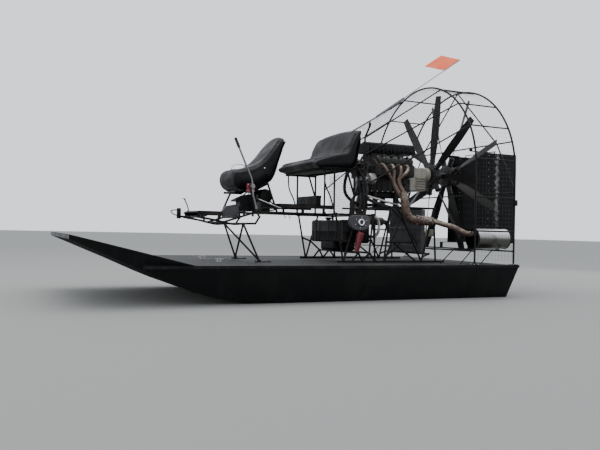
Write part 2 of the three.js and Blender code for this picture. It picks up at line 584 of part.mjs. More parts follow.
// Exhaust on each side: four tubes from the head pair up into a trunk, then a can, a pipe and a muffler.
for (const [side, sign] of sides) {
  const run = (points, radius, steps, faces) => bentTube(
    points.map(([aft, out, up]) => at(aft, out * sign, up)), radius, steps, faces,
  );
  const header = join(
    run([[-1425, 315, 1186], [-1425, 375, 1180], [-1400, 415, 1120], [-1330, 425, 1010]], 21, 6, 7),
    run([[-1290, 315, 1186], [-1290, 375, 1180], [-1295, 420, 1110], [-1300, 425, 1000]], 21, 6, 7),
    run([[-1180, 315, 1186], [-1180, 375, 1180], [-1195, 420, 1110], [-1235, 425, 1000]], 21, 6, 7),
    run([[-1075, 315, 1186], [-1075, 375, 1180], [-1100, 415, 1120], [-1215, 425, 1020]], 21, 6, 7),
    run([[-1318, 424, 1030], [-1300, 434, 950], [-1265, 480, 850], [-1230, 530, 780]], 28, 5, 8),
    run([[-1238, 424, 1030], [-1226, 434, 950], [-1195, 480, 850], [-1215, 530, 780]], 28, 5, 8),
    run([
      [-1222, 520, 840], [-1230, 570, 720], [-1214, 574, 620], [-1160, 574, 540], [CAN_START - 30, 574, 517],
    ], 50, 9, 10),
    bar(at(CAN_START - 45, 574 * sign, 517), at(CAN_START - 15, 574 * sign, 517), 50, 12),
    bar(at(CAN_START - 20, 574 * sign, 517), at(CAN_START, 574 * sign, 517), 62, 12),
  );
  const flange = block(at(-1500, 0, 1000), at(-900, (HEAD_FACE + GAP) * sign, 1300));
  const aftOfFlange = block(at(CAN_START, 300 * sign, 300), at(CAN_START + 200, 800 * sign, 800));
  add(`header_${side}`, cut(header, flange, aftOfFlange), rust);
  const pipe = join(
    bar(at(CAN_START + GAP, 574 * sign, 517), at(CAN_START + 18, 574 * sign, 517), 62, 12),
    bar(at(CAN_START + 10, 574 * sign, 517), at(-825, 580 * sign, 505), 56, 12),
    run([
      [-850, 579, 506], [-790, 588, 502], [-640, 740, 440], [-530, 850, PIPE_UP], [-440 - GAP, 850, PIPE_UP],
    ], 34, 10, 8),
  );
  add(`exhaust_pipe_${side}`, pipe, rust);
  const muffler = bar(at(-440, 850 * sign, MUFFLER_UP), at(60, 850 * sign, MUFFLER_UP), MUFFLER_R, 16);
  add(`muffler_${side}`, muffler, chrome);
}

// Cage: two hoops with legs down to the deck, stringers between them and stays inside the rear one.
class Hoop extends THREE.Curve {
  constructor(aft, foot) {
    super();
    this.aft = aft;
    this.leg = PROP_UP - foot;
    this.foot = foot;
  }

  getPoint(t, target = new THREE.Vector3()) {
    const arc = Math.PI * HOOP_R;
    const run = t * (arc + 2 * this.leg);
    if (run <= this.leg) return target.copy(at(this.aft, -HOOP_R, this.foot + run));
    if (run >= this.leg + arc) return target.copy(at(this.aft, HOOP_R, PROP_UP - (run - this.leg - arc)));
    const turn = (run - this.leg) / HOOP_R;
    return target.copy(at(this.aft, -HOOP_R * Math.cos(turn), PROP_UP + HOOP_R * Math.sin(turn)));
  }
}

// The hoop's point at a height above the deck.
const onHoop = (aft, sign, up) => {
  const side = up > PROP_UP ? Math.sqrt(HOOP_R ** 2 - (up - PROP_UP) ** 2) : HOOP_R;
  return [aft, sign * side, up];
};
const HOOP_STEPS = 40;
const hoopFeet = (aft) => sides.map(([, sign]) => block(
  at(aft - 40, HOOP_R * sign - 40, 4 + GAP), at(aft + 40, HOOP_R * sign + 40, 12),
));
const frontHoop = join(
  bentTube(new Hoop(FRONT_HOOP, 6), HOOP_TUBE, HOOP_STEPS),
  bar(at(FRONT_HOOP, -HOOP_R, CROSS_LOW), at(FRONT_HOOP, HOOP_R, CROSS_LOW), STAY_TUBE),
  ...hoopFeet(FRONT_HOOP),
);
add('cage_front_hoop', frontHoop, frameBlack);

const rearHoop = [bentTube(new Hoop(REAR_HOOP, 6), HOOP_TUBE, HOOP_STEPS), ...hoopFeet(REAR_HOOP)];
const SADDLE = MUFFLER_UP - MUFFLER_R - GAP; // top of the blocks under the mufflers
for (const [, sign] of sides) {
  rearHoop.push(block(at(REAR_HOOP - 8, 820 * sign, CROSS_LOW), at(REAR_HOOP + 8, 880 * sign, SADDLE)));
}
const top = [REAR_HOOP, 0, PROP_UP + HOOP_R];
const STRINGERS = [2180, 1950, 1656, 1250, 800, 400];
const NEAR_HOOP = FRONT_HOOP + HOOP_TUBE + GAP;
for (const [, sign] of sides) {
  for (const up of STRINGERS) {
    const [, side] = onHoop(0, sign, up);
    rearHoop.push(bar(at(NEAR_HOOP, side, up), at(REAR_HOOP, side, up), STAY_TUBE));
  }
  strut(rearHoop, top, [REAR_HOOP, 800 * sign, CROSS_HIGH], STAY_TUBE);
  strut(rearHoop, [REAR_HOOP, 800 * sign, CROSS_HIGH], onHoop(REAR_HOOP, sign, 890), STAY_TUBE);
  const [near, far] = [RUDDER_SIDE * sign - 25, RUDDER_SIDE * sign + 25];
  const reach = RUDDER_PIVOT + 30;
  rearHoop.push(
    block(at(REAR_HOOP, near, RUDDER_HIGH + GAP), at(reach, far, RUDDER_HIGH + 8)),
    block(at(REAR_HOOP - 8, near, RUDDER_HIGH + GAP), at(REAR_HOOP + 8, far, CROSS_HIGH)),
    block(at(REAR_HOOP, near, RUDDER_LOW - 8), at(reach, far, RUDDER_LOW - GAP)),
    block(at(REAR_HOOP - 8, near, CROSS_LOW), at(REAR_HOOP + 8, far, RUDDER_LOW - GAP)),
  );
}
const [, crossSide] = onHoop(0, 1, CROSS_HIGH);
strut(rearHoop, [REAR_HOOP, -crossSide, CROSS_HIGH], [REAR_HOOP, crossSide, CROSS_HIGH], STAY_TUBE);
strut(rearHoop, [REAR_HOOP, -HOOP_R, CROSS_MIDDLE], [REAR_HOOP, HOOP_R, CROSS_MIDDLE], STAY_TUBE);
strut(rearHoop, [REAR_HOOP, -HOOP_R, CROSS_LOW], [REAR_HOOP, HOOP_R, CROSS_LOW], STAY_TUBE);
add('cage_rear_hoop', join(...rearHoop), frameBlack);

// Struts on each side: a post beside the bench, and three stays back to the front hoop.
for (const [side, sign] of sides) {
  const struts = [];
  const post = TRUSS_SIDE * sign;
  strut(struts, [POST_AFT, post, 610], [POST_AFT, post, 1480]);
  struts.push(block(at(POST_AFT - 20, post - 20, 560 + FRAME_TUBE + GAP), at(POST_AFT + 20, post + 20, 612)));
  for (const [from, up] of [[1470, 2180], [1270, 1950], [900, 1656]]) {
    const [, hoopSide] = onHoop(0, sign, up);
    strut(struts, [POST_AFT, post, from], [FRONT_HOOP - 10, hoopSide, up], STAY_TUBE);
  }
  if (sign < 0) {
    strut(struts, [POST_AFT, post, 1470], [-1755, MAST_SIDE, 1600]);
    struts.push(block(at(-1768, MAST_SIDE - 12, 1590), at(-1742, MAST_SIDE + 12, MAST_FOOT)));
  }
  const coping = bentTube(new Hoop(FRONT_HOOP, 6), HOOP_TUBE + GAP, HOOP_STEPS);
  add(`cage_struts_${side}`, cut(join(...struts), coping), frameBlack);
}

// Propellers: eight narrow twisted blades round each hub, the two of opposite hand.
const BLADE = [
  // radius, chord, pitch in degrees, thickness
  [60, 46, 62, 40],
  [150, 52, 55, 28],
  [300, 84, 42, 18],
  [550, 108, 30, 13],
  [800, 106, 23, 10],
  [PROP_R, 84, 18, 7],
];
function blade(hand) {
  const rings = BLADE.map(([radius, chord, pitch, thick]) => {
    const turn = THREE.MathUtils.degToRad(pitch);
    const section = [[-0.5, -0.2], [0, -0.5], [0.5, -0.2], [0.5, 0.2], [0, 0.5], [-0.5, 0.2]];
    return section.map(([along, across]) => {
      const u = along * chord;
      const v = across * thick;
      const axial = -hand * (u * Math.sin(turn) - v * Math.cos(turn));
      const lateral = u * Math.cos(turn) + v * Math.sin(turn);
      return new THREE.Vector3(axial, lateral, radius);
    });
  });
  return loft(rings);
}
const RING_R = 150;
const RING_HALF = 38;
const SOCKET_R = 262; // how far out the blade sockets reach
function propeller(name, plane, hand, phase, profile) {
  const group = new THREE.Group();
  group.position.copy(at(plane, 0, PROP_UP));
  airboat.add(group);
  const spin = (degrees) => THREE.MathUtils.degToRad(degrees);
  const ring = new THREE.CylinderGeometry(RING_R, RING_R, 2 * RING_HALF, 24).rotateZ(Math.PI / 2);
  const all = [];
  for (let i = 0; i < BLADES; i++) {
    const angle = spin(phase + (360 / BLADES) * i);
    const [foot, tip] = [90, SOCKET_R].map((radius) => new THREE.Vector3(0, 0, radius));
    const socket = bar(foot, tip, RING_HALF - 2, 8, 0.2);
    all.push(blade(hand).rotateX(angle), socket.rotateX(angle));
  }
  const bore = new THREE.CylinderGeometry(50, 50, 4 * RING_HALF, 24).rotateZ(Math.PI / 2);
  const bladed = cut(join(ring, ...all), bore);
  add(`${name}_blades`, bladed, bladeGrey, group);
  const outline = profile.map(([r, x]) => new THREE.Vector2(r, x));
  if (profile[0][0] > 0) outline.push(outline[0].clone());
  const hub = new THREE.LatheGeometry(outline, 24).rotateZ(-Math.PI / 2);
  add(`${name}_hub`, hub, steel, group);
}
// Each hub is a turned profile of [radius, aft of the blades], and the rear one's shaft runs through
// the front one.
propeller('front_prop', FRONT_PROP, 1, FRONT_PHASE, [
  [34, -HUB_AHEAD], [46, -HUB_AHEAD], [49.4, -RING_HALF], [49.4, RING_HALF + GAP],
  [84, RING_HALF + GAP], [84, RING_HALF + 15], [34, RING_HALF + 15],
]);
propeller('rear_prop', REAR_PROP, -1, REAR_PHASE, [
  [0, FRONT_PROP - REAR_PROP - HUB_AHEAD], [26, FRONT_PROP - REAR_PROP - HUB_AHEAD], [26, -75], [46, -75],
  [49.4, -RING_HALF], [49.4, RING_HALF + GAP], [84, RING_HALF + GAP], [84, RING_HALF + 20],
  [0, RING_HALF + 40],
]);

// Rudders: thin aerofoil blades that turn on upright pivots behind the cage.
for (const [side, sign] of sides) {
  const group = new THREE.Group();
  group.position.copy(at(RUDDER_PIVOT, RUDDER_SIDE * sign, 0));
  airboat.add(group);
  const section = [
    [RUDDER_NOSE, 0], [RUDDER_NOSE + 30, 17], [RUDDER_NOSE + 140, 24], [RUDDER_TAIL - 220, 12],
    [RUDDER_TAIL, 2], [RUDDER_TAIL, -2], [RUDDER_TAIL - 220, -12], [RUDDER_NOSE + 140, -24],
    [RUDDER_NOSE + 30, -17],
  ];
  const ringAt = (up) => section.map(([aft, out]) => new THREE.Vector3(aft, out, up));
  const hornTop = sign > 0 ? HORN_TOP - OPEN_PIVOT : HORN_TOP;
  const horn = bar(new THREE.Vector3(HORN, 0, RUDDER_HIGH - 30), new THREE.Vector3(HORN, 0, hornTop), 8);
  const rudder = join(loft([ringAt(RUDDER_LOW), ringAt(RUDDER_HIGH)]), horn);
  add(`rudder_${side}`, rudder, blackPaint, group);
}

// Tie bar: carried by the port rudder's horn, with its starboard end just clear of the other horn.
const tieBar = new THREE.Group();
tieBar.position.copy(at(RUDDER_PIVOT + HORN, -RUDDER_SIDE, HORN_TOP + GAP));
airboat.add(tieBar);
const tieCorner = new THREE.Vector3(-12, -14, 0);
add('rudder_tie_bar', block(tieCorner, new THREE.Vector3(12, 2 * RUDDER_SIDE + 14, 8)), frameBlack, tieBar);

// Flag on a whip mast at the bench's port corner.
const mastFoot = at(-1755, MAST_SIDE, MAST_FOOT + GAP);
const mastBend = mastFoot.clone().add(new THREE.Vector3(0, 0, 15));
const mastTop = at(-478, MAST_SIDE, 2533);
add('flag_mast', bars([mastFoot, mastBend, mastTop], 5, 6), plasticBlack);
const FLAG_HOIST = 290;
const FLAG_FLY = 300;
const up = mastTop.clone().sub(mastBend).normalize();
const hem = new THREE.Vector3(-up.z, 0, up.x).multiplyScalar(5 + GAP);
const hoistLow = mastTop.clone().addScaledVector(up, -FLAG_HOIST);
const fly = new THREE.Vector3(-0.96, 0, 0.05);
const flagCorners = [
  hoistLow,
  mastTop,
  mastTop.clone().addScaledVector(fly, FLAG_FLY),
  hoistLow.clone().addScaledVector(fly, FLAG_FLY),
];
const flagFace = (side) => flagCorners.map((corner) => corner.clone().add(hem).setY(MAST_SIDE + side));
const flagRings = [flagFace(-2), flagFace(2)];
add('flag', loft(flagRings), flagOrange);

export default airboat;
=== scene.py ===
import math

import bpy
import numpy as np
from mathutils import Matrix


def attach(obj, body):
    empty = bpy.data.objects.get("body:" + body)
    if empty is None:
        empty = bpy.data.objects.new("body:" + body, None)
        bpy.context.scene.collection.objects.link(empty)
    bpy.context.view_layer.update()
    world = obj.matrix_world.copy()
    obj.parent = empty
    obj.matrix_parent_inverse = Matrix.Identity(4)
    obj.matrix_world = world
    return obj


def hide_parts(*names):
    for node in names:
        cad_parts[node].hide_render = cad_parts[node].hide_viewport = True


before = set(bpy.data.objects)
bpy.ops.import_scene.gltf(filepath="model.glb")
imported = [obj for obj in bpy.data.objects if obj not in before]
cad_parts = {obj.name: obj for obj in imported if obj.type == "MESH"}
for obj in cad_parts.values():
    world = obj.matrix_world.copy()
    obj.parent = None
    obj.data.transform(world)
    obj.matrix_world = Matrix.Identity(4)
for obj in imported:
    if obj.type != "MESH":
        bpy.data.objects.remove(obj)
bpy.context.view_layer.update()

# Camera, at the height of a standing person's waist, ahead of the boat's middle and off its port side.
# It looks aft and to starboard, as the photograph does, with a little roll.
# Points are written as mm aft of the transom, to starboard of the keel line and above the deck.
STERN = 2.189
DECK = 0.390


def at(aft, side, up):
    """A point, in metres in the boat's frame: x = STERN + aft, y = side, z = DECK + up, from millimetres."""
    return np.array([STERN + aft / 1000, side / 1000, DECK + up / 1000])


IMAGE_WIDTH = 600
FOCAL_PIXELS = 664.74
YAW, PITCH, ROLL = (math.radians(v) for v in (24.4266, 0.44, 1.233))
level_right = np.array([math.cos(YAW), -math.sin(YAW), 0.0])
level_ahead = np.array([math.sin(YAW), math.cos(YAW), 0.0])
straight_up = np.array([0.0, 0.0, 1.0])
ahead = math.cos(PITCH) * level_ahead + math.sin(PITCH) * straight_up
upright = math.cos(PITCH) * straight_up - math.sin(PITCH) * level_ahead
right = math.cos(ROLL) * level_right + math.sin(ROLL) * upright
upward = math.cos(ROLL) * upright - math.sin(ROLL) * level_right
view_camera = bpy.data.objects.new("view_camera", bpy.data.cameras.new("view_camera"))
bpy.context.scene.collection.objects.link(view_camera)
bpy.context.scene.camera = view_camera
view_camera.data.sensor_fit = "HORIZONTAL"
view_camera.data.sensor_width = 36.0
view_camera.data.lens = 36.0 * FOCAL_PIXELS / IMAGE_WIDTH
placing = np.eye(4)
placing[:3, :4] = np.stack([right, upward, -ahead, at(-5683.8, -7336.7, 365.6)], axis=1)
view_camera.matrix_world = Matrix(placing.tolist())

# Pale studio: a wide floor, an even pale surround and large soft lamps, as under a bright clouded sky.
# The floor is matt and carries only a faint unevenness.
FLOOR_SIDE = 160.0
floor_mesh = bpy.data.meshes.new("studio_floor")
corner = FLOOR_SIDE / 2
floor_mesh.from_pydata([(-corner, -corner, 0), (corner, -corner, 0), (corner, corner, 0), (-corner, corner, 0)],
                       [], [(0, 1, 2, 3)])
studio_floor = bpy.data.objects.new("studio_floor", floor_mesh)
bpy.context.scene.collection.objects.link(studio_floor)
floor_paint = bpy.data.materials.new("floor_paint")
floor_paint.use_nodes = True
floor_shader = floor_paint.node_tree.nodes["Principled BSDF"]
floor_shader.inputs["Base Color"].default_value = (0.26, 0.262, 0.25, 1)
floor_shader.inputs["Roughness"].default_value = 0.95
floor_mesh.materials.append(floor_paint)
surround = bpy.data.worlds.new("surround")
surround.use_nodes = True
surround.node_tree.nodes["Background"].inputs["Color"].default_value = (0.88, 0.92, 0.98, 1)
surround.node_tree.nodes["Background"].inputs["Strength"].default_value = 1.45
bpy.context.scene.world = surround


def soft_lamp(name, place, towards, size, power):
    """A square area lamp at place, in metres, turned so that it shines towards a point."""
    lamp = bpy.data.objects.new(name, bpy.data.lights.new(name, "AREA"))
    bpy.context.scene.collection.objects.link(lamp)
    lamp.data.size = size
    lamp.data.energy = power
    back = np.array(place, float) - np.array(towards, float)
    back /= np.linalg.norm(back)
    side = np.cross(straight_up, back)
    side /= np.linalg.norm(side)
    turn = np.eye(4)
    turn[:3, :4] = np.stack([side, np.cross(back, side), back, np.array(place, float)], axis=1)
    lamp.matrix_world = Matrix(turn.tolist())


soft_lamp("sky_lamp", (-2.0, 1.5, 9.5), (0.3, 0.0, 0.5), 9.0, 520)
soft_lamp("side_lamp", (-6.5, -8.5, 4.2), (0.2, 0.0, 1.0), 5.0, 120)
soft_lamp("stern_lamp", (8.0, 2.5, 3.5), (0.5, 0.0, 1.2), 4.0, 90)

# Paint, metal and plastic: each finish is a principled shader fed by a shared group. Weathering gives uneven
# colour, dirt in patches and fine bumps. Vinyl, rust and cloth have groups of their own beside their pieces.


def new_group(name, inputs, outputs):
    """An empty shader group with named sockets: a value is a float socket, a 4-tuple a colour socket."""
    group = bpy.data.node_groups.new(name, "ShaderNodeTree")
    for socket, value in inputs.items():
        kind = "NodeSocketColor" if isinstance(value, tuple) else "NodeSocketFloat"
        made = group.interface.new_socket(socket, in_out="INPUT", socket_type=kind)
        made.default_value = value
    for socket, kind in outputs.items():
        group.interface.new_socket(socket, in_out="OUTPUT", socket_type=f"NodeSocket{kind}")
    return group, group.nodes.new("NodeGroupInput"), group.nodes.new("NodeGroupOutput")


def add_node(tree, kind, out, inputs, **settings):
    """A shader node with its settings and inputs, each input a value or a socket. It gives one output."""
    node = tree.nodes.new("ShaderNode" + kind)
    for key, value in settings.items():
        setattr(node, key, value)
    for key, value in inputs.items():
        if isinstance(value, bpy.types.NodeSocket):
            tree.links.new(value, node.inputs[key])
        else:
            node.inputs[key].default_value = value
    return node.outputs[out]


def noise(tree, place, scale, detail=4.0, rough=0.55):
    """Layered noise at a number of cells per metre."""
    return add_node(tree, "TexNoise", "Fac", {"Vector": place, "Scale": scale, "Detail": detail, "Roughness": rough})


def spread(tree, value, low, high, new_low=0.0, new_high=1.0):
    """A value between low and high is spread from new_low to new_high, and held outside them."""
    return add_node(tree, "MapRange", "Result", {"Value": value, "From Min": low, "From Max": high,
                                                 "To Min": new_low, "To Max": new_high})


def add(tree, first, second):
    """The sum of two values."""
    return add_node(tree, "Math", "Value", {0: first, 1: second}, operation="ADD")


def times(tree, first, second):
    """The product of two values."""
    return add_node(tree, "Math", "Value", {0: first, 1: second}, operation="MULTIPLY")


def blend_colours(tree, share, first, second):
    """A mix of two colours by share."""
    return add_node(tree, "Mix", 2, {0: share, 6: first, 7: second}, data_type="RGBA")


def facing_up(tree):
    """The upward part of the surface's normal, from -1 underneath to 1 on top."""
    return add_node(tree, "SeparateXYZ", "Z", {"Vector": add_node(tree, "NewGeometry", "Normal", {})})


weathering, worn_in, worn_out = new_group(
    "weathering",
    {"Colour": (0.5, 0.5, 0.5, 1.0), "Dirt Colour": (0.2, 0.17, 0.13, 1.0), "Dirt": 0.3, "Unevenness": 0.15,
     "Scale": 3.0, "Roughness": 0.5, "Roughness Spread": 0.15, "Dust Above": 0.3},
    {"Colour": "Color", "Roughness": "Float", "Height": "Float"})
worn_place = add_node(weathering, "TexCoord", "Object", {})
broad = noise(weathering, worn_place, worn_in.outputs["Scale"], 5.0)
fine = noise(weathering, worn_place, 90.0, 3.0)
tall_place = add_node(weathering, "Mapping", "Vector", {"Vector": worn_place, "Scale": (9.0, 9.0, 1.1)})
streaks = noise(weathering, tall_place, 2.0, 5.0)
patches = spread(weathering, add(weathering, times(weathering, broad, 0.55), times(weathering, streaks, 0.45)),
                 0.48, 0.66)
# Upward faces take the dirt colour in broad patches: settled dust, and in the rim's finish also a painted lighter top.
dust_and_light_above = times(weathering, spread(weathering, facing_up(weathering), 0.35, 0.95), times(
    weathering, spread(weathering, broad, 0.3, 0.7, 0.35, 1.0), worn_in.outputs["Dust Above"]))
swing = times(weathering, add(weathering, broad, -0.5), worn_in.outputs["Unevenness"])
shaded = add_node(weathering, "HueSaturation", "Color", {
    "Color": worn_in.outputs["Colour"], "Value": add(weathering, 1.0, times(weathering, swing, 4.0))})
cover = add_node(weathering, "Math", "Value", {0: times(weathering, patches, worn_in.outputs["Dirt"]), 1: dust_and_light_above},
                 operation="MAXIMUM")
weathering.links.new(blend_colours(weathering, cover, shaded, worn_in.outputs["Dirt Colour"]),
                     worn_out.inputs["Colour"])
rough_swing = times(weathering, add(weathering, streaks, -0.45),
                    times(weathering, worn_in.outputs["Roughness Spread"], 3.0))
rough_sum = add(weathering, add(weathering, worn_in.outputs["Roughness"], rough_swing),
                times(weathering, cover, 0.25))
weathering.links.new(spread(weathering, rough_sum, 0.04, 1.0, 0.04, 1.0), worn_out.inputs["Roughness"])
weathering.links.new(add(weathering, times(weathering, fine, 0.6), times(weathering, patches, 0.4)),
                     worn_out.inputs["Height"])


def finish(name, group, values, bump, depth, **shader_values):
    """A material whose group feeds the shader's colour, roughness and, through a bump of a depth in metres, its
    normal. The shader's own values are named with _ for a space."""
    material = bpy.data.materials.new(name)
    material.use_nodes = True
    tree = material.node_tree
    shader = tree.nodes["Principled BSDF"]
    for key, value in shader_values.items():
        shader.inputs[key.replace("_", " ")].default_value = value
    node = tree.nodes.new("ShaderNodeGroup")
    node.node_tree = group
    for key, value in values.items():
        node.inputs[key].default_value = value
    tree.links.new(node.outputs["Colour"], shader.inputs["Base Color"])
    if "Roughness" in node.outputs:
        tree.links.new(node.outputs["Roughness"], shader.inputs["Roughness"])
    tree.links.new(add_node(tree, "Bump", "Normal", {"Strength": bump, "Distance": depth,
                                                     "Height": node.outputs["Height"]}), shader.inputs["Normal"])
    return material


def weathered(name, colour, roughness, metallic=0.0, dirt=0.3, dirt_colour=(0.2, 0.17, 0.13), scale=3.0,
              rough_spread=0.12, dust_and_light=0.25, bump=0.15, depth=0.0006, coat=0.0, specular=0.5):
    """A finish from the weathering group."""
    return finish(name, weathering, {
        "Colour": (*colour, 1.0), "Dirt Colour": (*dirt_colour, 1.0), "Dirt": dirt, "Unevenness": 0.15, "Scale": scale,
        "Roughness": roughness, "Roughness Spread": rough_spread, "Dust Above": dust_and_light}, bump, depth,
        Metallic=metallic, Specular_IOR_Level=specular, Coat_Weight=coat, Coat_Roughness=0.12)


def dress(material, *names):
    """Gives CAD nodes a finish in place of their plain one."""
    for name in names:
        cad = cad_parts[name]
        if not cad.material_slots:
            cad.data.materials.append(material)
        for held in cad.material_slots:
            held.material = material


# Hull: a riveted aluminium shell, painted black outside, with a grey non-slip deck and a folded black rim.
# Its sides flare outwards and its long rake ends in a square bow; underneath, the paint is scuffed matt.
hull_black = weathered("hull_black", (0.0032, 0.0034, 0.0037), 0.38, specular=0.14, dirt=0.25,
                       dirt_colour=(0.02, 0.02, 0.017), scale=1.6, rough_spread=0.2, dust_and_light=0.5, bump=0.35, depth=0.0012)
hull_tree = hull_black.node_tree
hull_shader = hull_tree.nodes["Principled BSDF"]
underneath = spread(hull_tree, facing_up(hull_tree), -0.75, -0.45, 0.6, 0.0)
hull_tree.links.new(add(hull_tree, hull_shader.inputs["Roughness"].links[0].from_socket, underneath),
                    hull_shader.inputs["Roughness"])
deck_grey = weathered("deck_grey", (0.017, 0.0172, 0.0185), 0.62, specular=0.22, dirt=0.4,
    dirt_colour=(0.05, 0.049, 0.045), scale=2.2, dust_and_light=0.35, bump=0.8, depth=0.0015)
# Painted highlight: the rim's large share of dirt colour on upward faces lightens the lip's top as if it caught the
# light, besides settled dust.
rim_paint = weathered("rim_paint", (0.004, 0.0042, 0.0045), 0.5, specular=0.12, dirt=0.3,
                      dirt_colour=(0.045, 0.045, 0.042), scale=6.0, dust_and_light=0.9, bump=0.3)
dress(hull_black, "hull")
dress(deck_grey, "deck")
dress(rim_paint, "gunwale_port", "gunwale_starboard")


def outwards(part):
    """A closed part with its faces turned round if the volume that they enclose comes out negative."""
    points, loops, sizes = part
    starts = np.concatenate([[0], np.cumsum(sizes)[:-1]])
    inner = np.concatenate([np.arange(s + 1, s + n - 1) for s, n in zip(starts, sizes)]) if len(set(sizes)) > 1 \
        else (starts[:, None] + np.arange(1, sizes[0] - 1)[None]).ravel()
    first = np.repeat(starts, np.asarray(sizes) - 2)
    a, b, c = points[loops[first]], points[loops[inner]], points[loops[inner + 1]]
    if np.einsum("ij,ij->i", a, np.cross(b, c)).sum() < 0:
        loops = np.concatenate([loops[s:s + n][::-1] for s, n in zip(starts, sizes)])
    return points, loops, sizes


def skin(rings, loop=False, sheet=False):
    """A surface through n rings of m points: four-sided faces from each ring to the next, and one flat face over
    the first and last ring. loop joins the last ring to the first instead, and a sheet leaves each ring open."""
    rings = np.asarray(rings, float)
    n, m = rings.shape[:2]
    rows = np.arange(n if loop else n - 1)
    cols = np.arange(m - 1 if sheet else m)
    i, j = np.meshgrid(rows, cols, indexing="ij")
    k, l = (i + 1) % n, (j + 1) % m
    quads = np.stack([i * m + j, i * m + l, k * m + l, k * m + j], axis=-1).reshape(-1, 4)
    loops, sizes = quads.ravel(), np.full(len(quads), 4)
    if not loop and not sheet:
        loops = np.concatenate([loops, np.arange(m)[::-1], (n - 1) * m + np.arange(m)])
        sizes = np.concatenate([sizes, [m, m]])
    part = rings.reshape(-1, 3), loops, sizes
    return part if sheet else outwards(part)


def piece(name, parts, material, body, slot, *nodes, sharp=40, bevel=0.0):
    """One object from closed parts of (points, loops, sizes): it takes a finish, rides on a body and stands for
    the named CAD nodes; its slot is not used. Edges sharper than an angle stay crisp."""
    shift = np.cumsum([0] + [len(p[0]) for p in parts])
    points = np.concatenate([p[0] for p in parts])
    loops = np.concatenate([p[1] + s for p, s in zip(parts, shift)]).astype(np.int32)
    sizes = np.concatenate([p[2] for p in parts]).astype(np.int32)
    mesh = bpy.data.meshes.new(name)
    mesh.vertices.add(len(points))
    mesh.vertices.foreach_set("co", points.astype(np.float32).ravel())
    mesh.loops.add(len(loops))
    mesh.loops.foreach_set("vertex_index", loops)
    mesh.polygons.add(len(sizes))
    mesh.polygons.foreach_set("loop_start", np.concatenate([[0], np.cumsum(sizes)[:-1]]).astype(np.int32))
    mesh.polygons.foreach_set("use_smooth", np.ones(len(sizes), bool))
    mesh.update(calc_edges=True)
    mesh.validate()
    mesh.set_sharp_from_angle(angle=math.radians(sharp))
    made = bpy.data.objects.new(name, mesh)
    bpy.context.scene.collection.objects.link(made)
    mesh.materials.append(material)
    if bevel:
        round_off = made.modifiers.new("rounded_edges", "BEVEL")
        round_off.width = bevel
        round_off.segments = 2
        round_off.limit_method = "ANGLE"
        round_off.angle_limit = math.radians(50)
    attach(made, body)
    if nodes:
        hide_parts(*nodes)
    return made


def tube(path, radius, sides=10, reference=None, loop=False):
    """A round tube along a path. At each point a circle lies square to the path's direction, which is the
    difference of its neighbours; its first axis is square to the direction and to a fixed reference."""
    path = np.asarray(path, float)
    if loop:
        along = np.roll(path, -1, axis=0) - np.roll(path, 1, axis=0)
    else:
        along = np.gradient(path, axis=0)
    along /= np.linalg.norm(along, axis=1)[:, None]
    if reference is None:
        reference = np.eye(3)[np.argmin(np.abs(along).max(axis=0))]
    first = np.cross(along, reference)
    first /= np.linalg.norm(first, axis=1)[:, None]
    second = np.cross(along, first)
    turn = np.linspace(0, 2 * np.pi, sides, endpoint=False)
    reach = np.broadcast_to(np.asarray(radius, float), len(path))[:, None, None]
    rings = path[:, None] + reach * (np.cos(turn)[None, :, None] * first[:, None]
                                     + np.sin(turn)[None, :, None] * second[:, None])
    return skin(rings, loop=loop)


def rods(ends, radius, sides=10):
    """Straight round rods between pairs of (aft, side, up) points, in millimetres."""
    return [tube([at(*a), at(*b)], radius / 1000, sides) for a, b in ends]


def knots(places, radius, sides=10):
    """Weld beads: small balls, as circles of radius r sin(v) at height r cos(v), at (aft, side, up) points."""
    v = np.linspace(0.25, np.pi - 0.25, 6)
    height = np.array([0.0, 0.0, 1.0])
    return [tube(at(*p) + radius / 1000 * np.cos(v)[:, None] * height, radius / 1000 * np.sin(v), sides,
                 reference=np.array([1.0, 0, 0])) for p in places]


def box_part(low, high):
    """A box between two (aft, side, up) corners, in millimetres."""
    a, b = np.minimum(at(*low), at(*high)), np.maximum(at(*low), at(*high))
    ring = np.array([[a[0], a[1]], [b[0], a[1]], [b[0], b[1]], [a[0], b[1]]])
    return skin([np.column_stack([ring, np.full(4, z)]) for z in (a[2], b[2])])


def smooth_rows(rows, steps):
    """Rows of numbers, drawn out to more rows by a cubic through them, whose tangent at each is half the
    difference of its neighbours."""
    p = np.asarray(rows, float)
    p = np.concatenate([[2 * p[0] - p[1]], p, [2 * p[-1] - p[-2]]])
    s = np.linspace(0, len(rows) - 1, steps)
    k = np.minimum(s.astype(int), len(rows) - 2)
    t = (s - k)[:, None]
    a, b, c, d = (p[k + i] for i in range(4))
    return 0.5 * (2 * b + (c - a) * t + (2 * a - 5 * b + 4 * c - d) * t ** 2 + (3 * b - a - 3 * c + d) * t ** 3)


def bend(points, steps=24):
    """A smooth curve through (aft, side, up) points, as smooth_rows draws it."""
    return smooth_rows([at(*q) for q in points], steps)


def domes(places, normals, radius, height, sides=6):
    """Rivet or bolt heads: on each place, rings of radius r, 0.85 r and 0.3 r at rising heights along its normal."""
    places, normals = np.atleast_2d(places), np.atleast_2d(normals)
    normals = np.broadcast_to(normals / np.linalg.norm(normals, axis=1)[:, None], places.shape)
    helper = np.where(np.abs(normals[:, 2:3]) < 0.9, [[0.0, 0.0, 1.0]], [[1.0, 0.0, 0.0]])
    first = np.cross(normals, helper)
    first /= np.linalg.norm(first, axis=1)[:, None]
    second = np.cross(normals, first)
    turn = np.linspace(0, 2 * np.pi, sides, endpoint=False)
    circle = np.cos(turn)[None, :, None] * first[:, None] + np.sin(turn)[None, :, None] * second[:, None]
    rings = np.stack([places[:, None] + r * radius * circle + h * height * normals[:, None]
                      for r, h in ((1.0, -0.3), (1.0, 0.35), (0.85, 0.75), (0.3, 1.0))], axis=1)
    return [skin(r) for r in rings]


